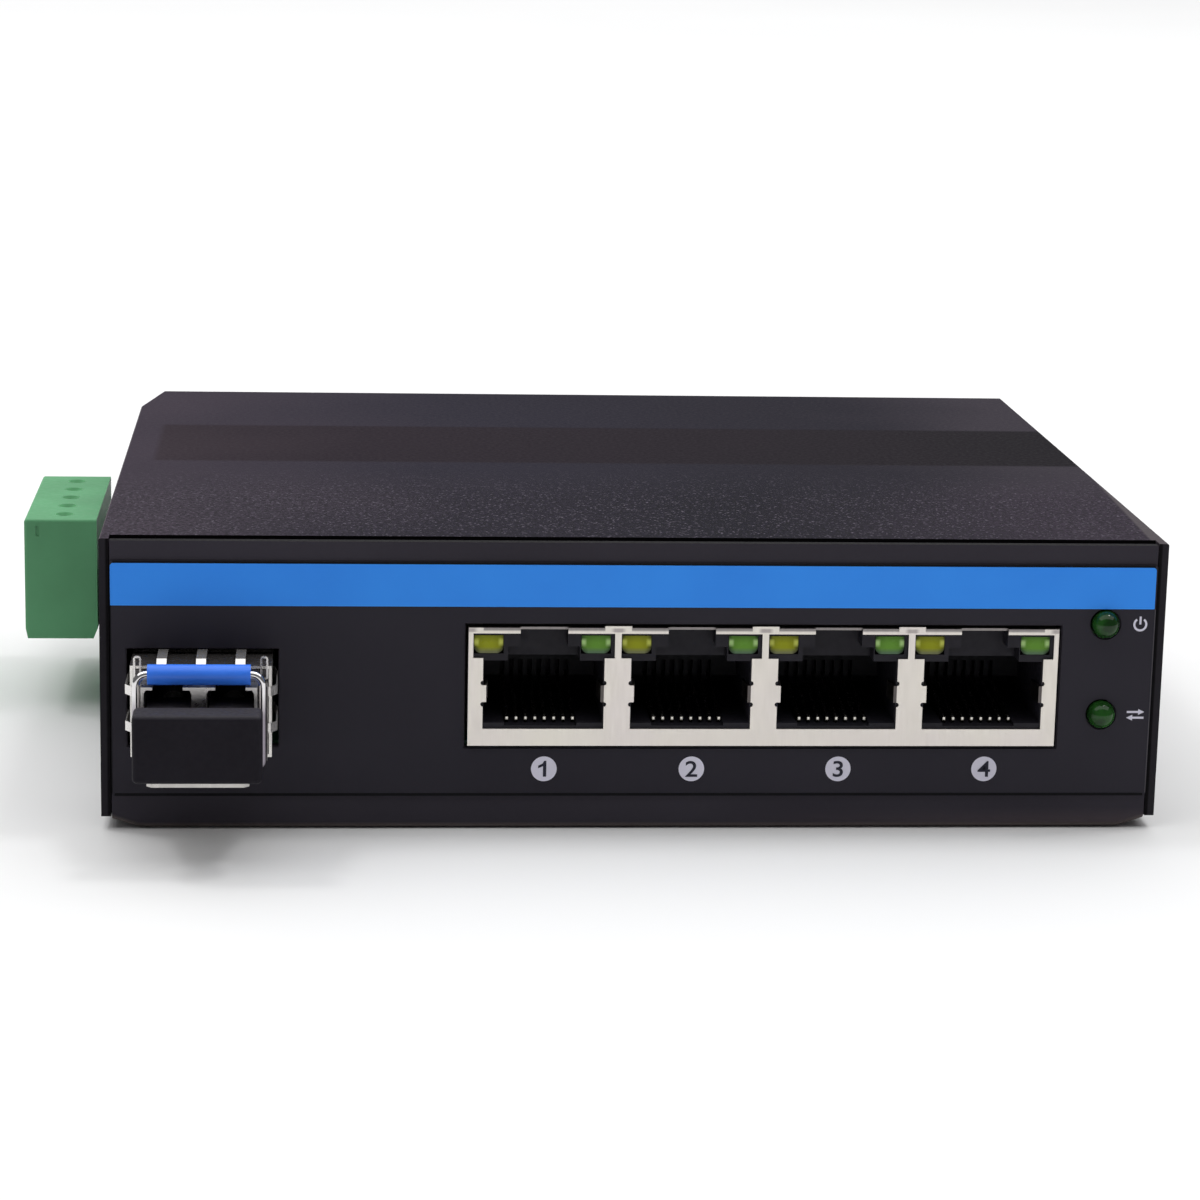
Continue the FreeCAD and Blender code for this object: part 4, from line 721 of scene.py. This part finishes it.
def add_numeral(number, x):
    """A figure from the built-in typeface, made wider and set upright on its disc."""
    curve = bpy.data.curves.new(f"numeral_outline_{number}", "FONT")
    curve.body = str(number)
    curve.size = NUMERAL_SIZE * MM
    curve.align_x = "CENTER"
    curve.align_y = "CENTER"
    curve.extrude = NUMERAL_HALF_THICK * MM
    curve.offset = NUMERAL_SWELL * MM
    drawn = bpy.data.objects.new(f"numeral_drawing_{number}", curve)
    bpy.context.scene.collection.objects.link(drawn)
    bpy.context.view_layer.update()
    mesh = bpy.data.meshes.new_from_object(drawn.evaluated_get(bpy.context.evaluated_depsgraph_get()))
    bpy.data.objects.remove(drawn)
    bpy.data.curves.remove(curve)
    low = Vector(map(min, *[v.co for v in mesh.vertices]))
    high = Vector(map(max, *[v.co for v in mesh.vertices]))
    centre = (low + high) / 2
    place = Vector((x, FILM_FRONT - PRINT_THICK - NUMERAL_LIFT, DISC_Z)) * MM
    upright = Matrix.Rotation(math.pi / 2, 4, "X") @ Matrix.Diagonal((NUMERAL_WIDEN, 1.0, 1.0, 1.0))
    mesh.transform(Matrix.Translation(place) @ upright @ Matrix.Translation(-centre))
    mesh.materials.clear()
    mesh.materials.append(LOOKS["print_dark"])
    piece = bpy.data.objects.new(f"numeral_{number}", mesh)
    bpy.context.scene.collection.objects.link(piece)
    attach(piece, "housing")


def add_lamp_marks():
    power = [
        ring_part(MARK_X, POWER_Z, *POWER_RING, *POWER_SWEEP),
        rectangle(MARK_X - POWER_BAR_HALF, MARK_X + POWER_BAR_HALF, POWER_Z, POWER_Z + POWER_BAR_HIGH),
    ]
    add_ink("power_mark", power, "print_pale")
    link = [
        [(MARK_X + sign * right, LINK_Z + sign * up) for right, up in LINK_ARROW]
        for sign in (1, -1)
    ]
    add_ink("link_mark", link, "print_pale")


def paint_nodes():
    """Every CAD node gets the look of its slot in place of the plain colour it was packed with."""
    for name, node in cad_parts.items():
        slot = node.data.materials[0].name.split(".")[0]
        node.data.materials[0] = LOOKS[NODE_LOOKS.get(name, slot)]


def add_stage():
    floor_look = Look("floor_paper", roughness=0.7, specular=0.2)
    cloud = floor_look.noise(scale=3)
    floor_look.colour(floor_look.mottle(cloud, (0.88, 0.88, 0.88), (0.90, 0.90, 0.90)))
    mesh = bpy.data.meshes.new("floor")
    shape = bmesh.new()
    bmesh.ops.create_grid(shape, x_segments=FLOOR_CELLS, y_segments=FLOOR_CELLS, size=FLOOR_HALF)
    shape.to_mesh(mesh)
    shape.free()
    mesh.materials.append(floor_look.material)
    floor = bpy.data.objects.new("floor", mesh)
    floor.location = (0, FLOOR_BACK, -FLOOR_DROP * MM)
    bpy.context.scene.collection.objects.link(floor)


def add_light(name, place, target, size, power):
    data = bpy.data.lights.new(name, "AREA")
    data.shape = "SQUARE"
    data.size = size
    data.energy = power
    light = bpy.data.objects.new(name, data)
    light.location = place
    light.rotation_euler = (Vector(target) - Vector(place)).to_track_quat("-Z", "Y").to_euler()
    bpy.context.scene.collection.objects.link(light)


def add_lights():
    world = bpy.data.worlds.new("studio")
    bpy.context.scene.world = world
    world.use_nodes = True
    background = world.node_tree.nodes["Background"]
    background.inputs["Color"].default_value = WORLD_TINT
    background.inputs["Strength"].default_value = WORLD_STRENGTH
    for name, row in LIGHTS.items():
        add_light(name, **row)


def add_camera():
    data = bpy.data.cameras.new("camera")
    data.lens = CAMERA_LENS
    data.sensor_width = CAMERA_SENSOR
    data.clip_start, data.clip_end = CAMERA_CLIP
    camera = bpy.data.objects.new("camera", data)
    axes = (Vector(CAMERA_RIGHT), -Vector(CAMERA_DOWN), -Vector(CAMERA_FORWARD))
    turn = Matrix(axes).transposed().to_4x4()
    camera.matrix_world = Matrix.Translation(Vector(CAMERA_PLACE) * MM) @ turn
    bpy.context.scene.collection.objects.link(camera)
    bpy.context.scene.camera = camera


paint_nodes()
add_band_and_border()
add_port_numbers()
add_lamp_marks()
add_stage()
add_lights()
add_camera()
bpy.context.scene.view_settings.view_transform = "Standard"
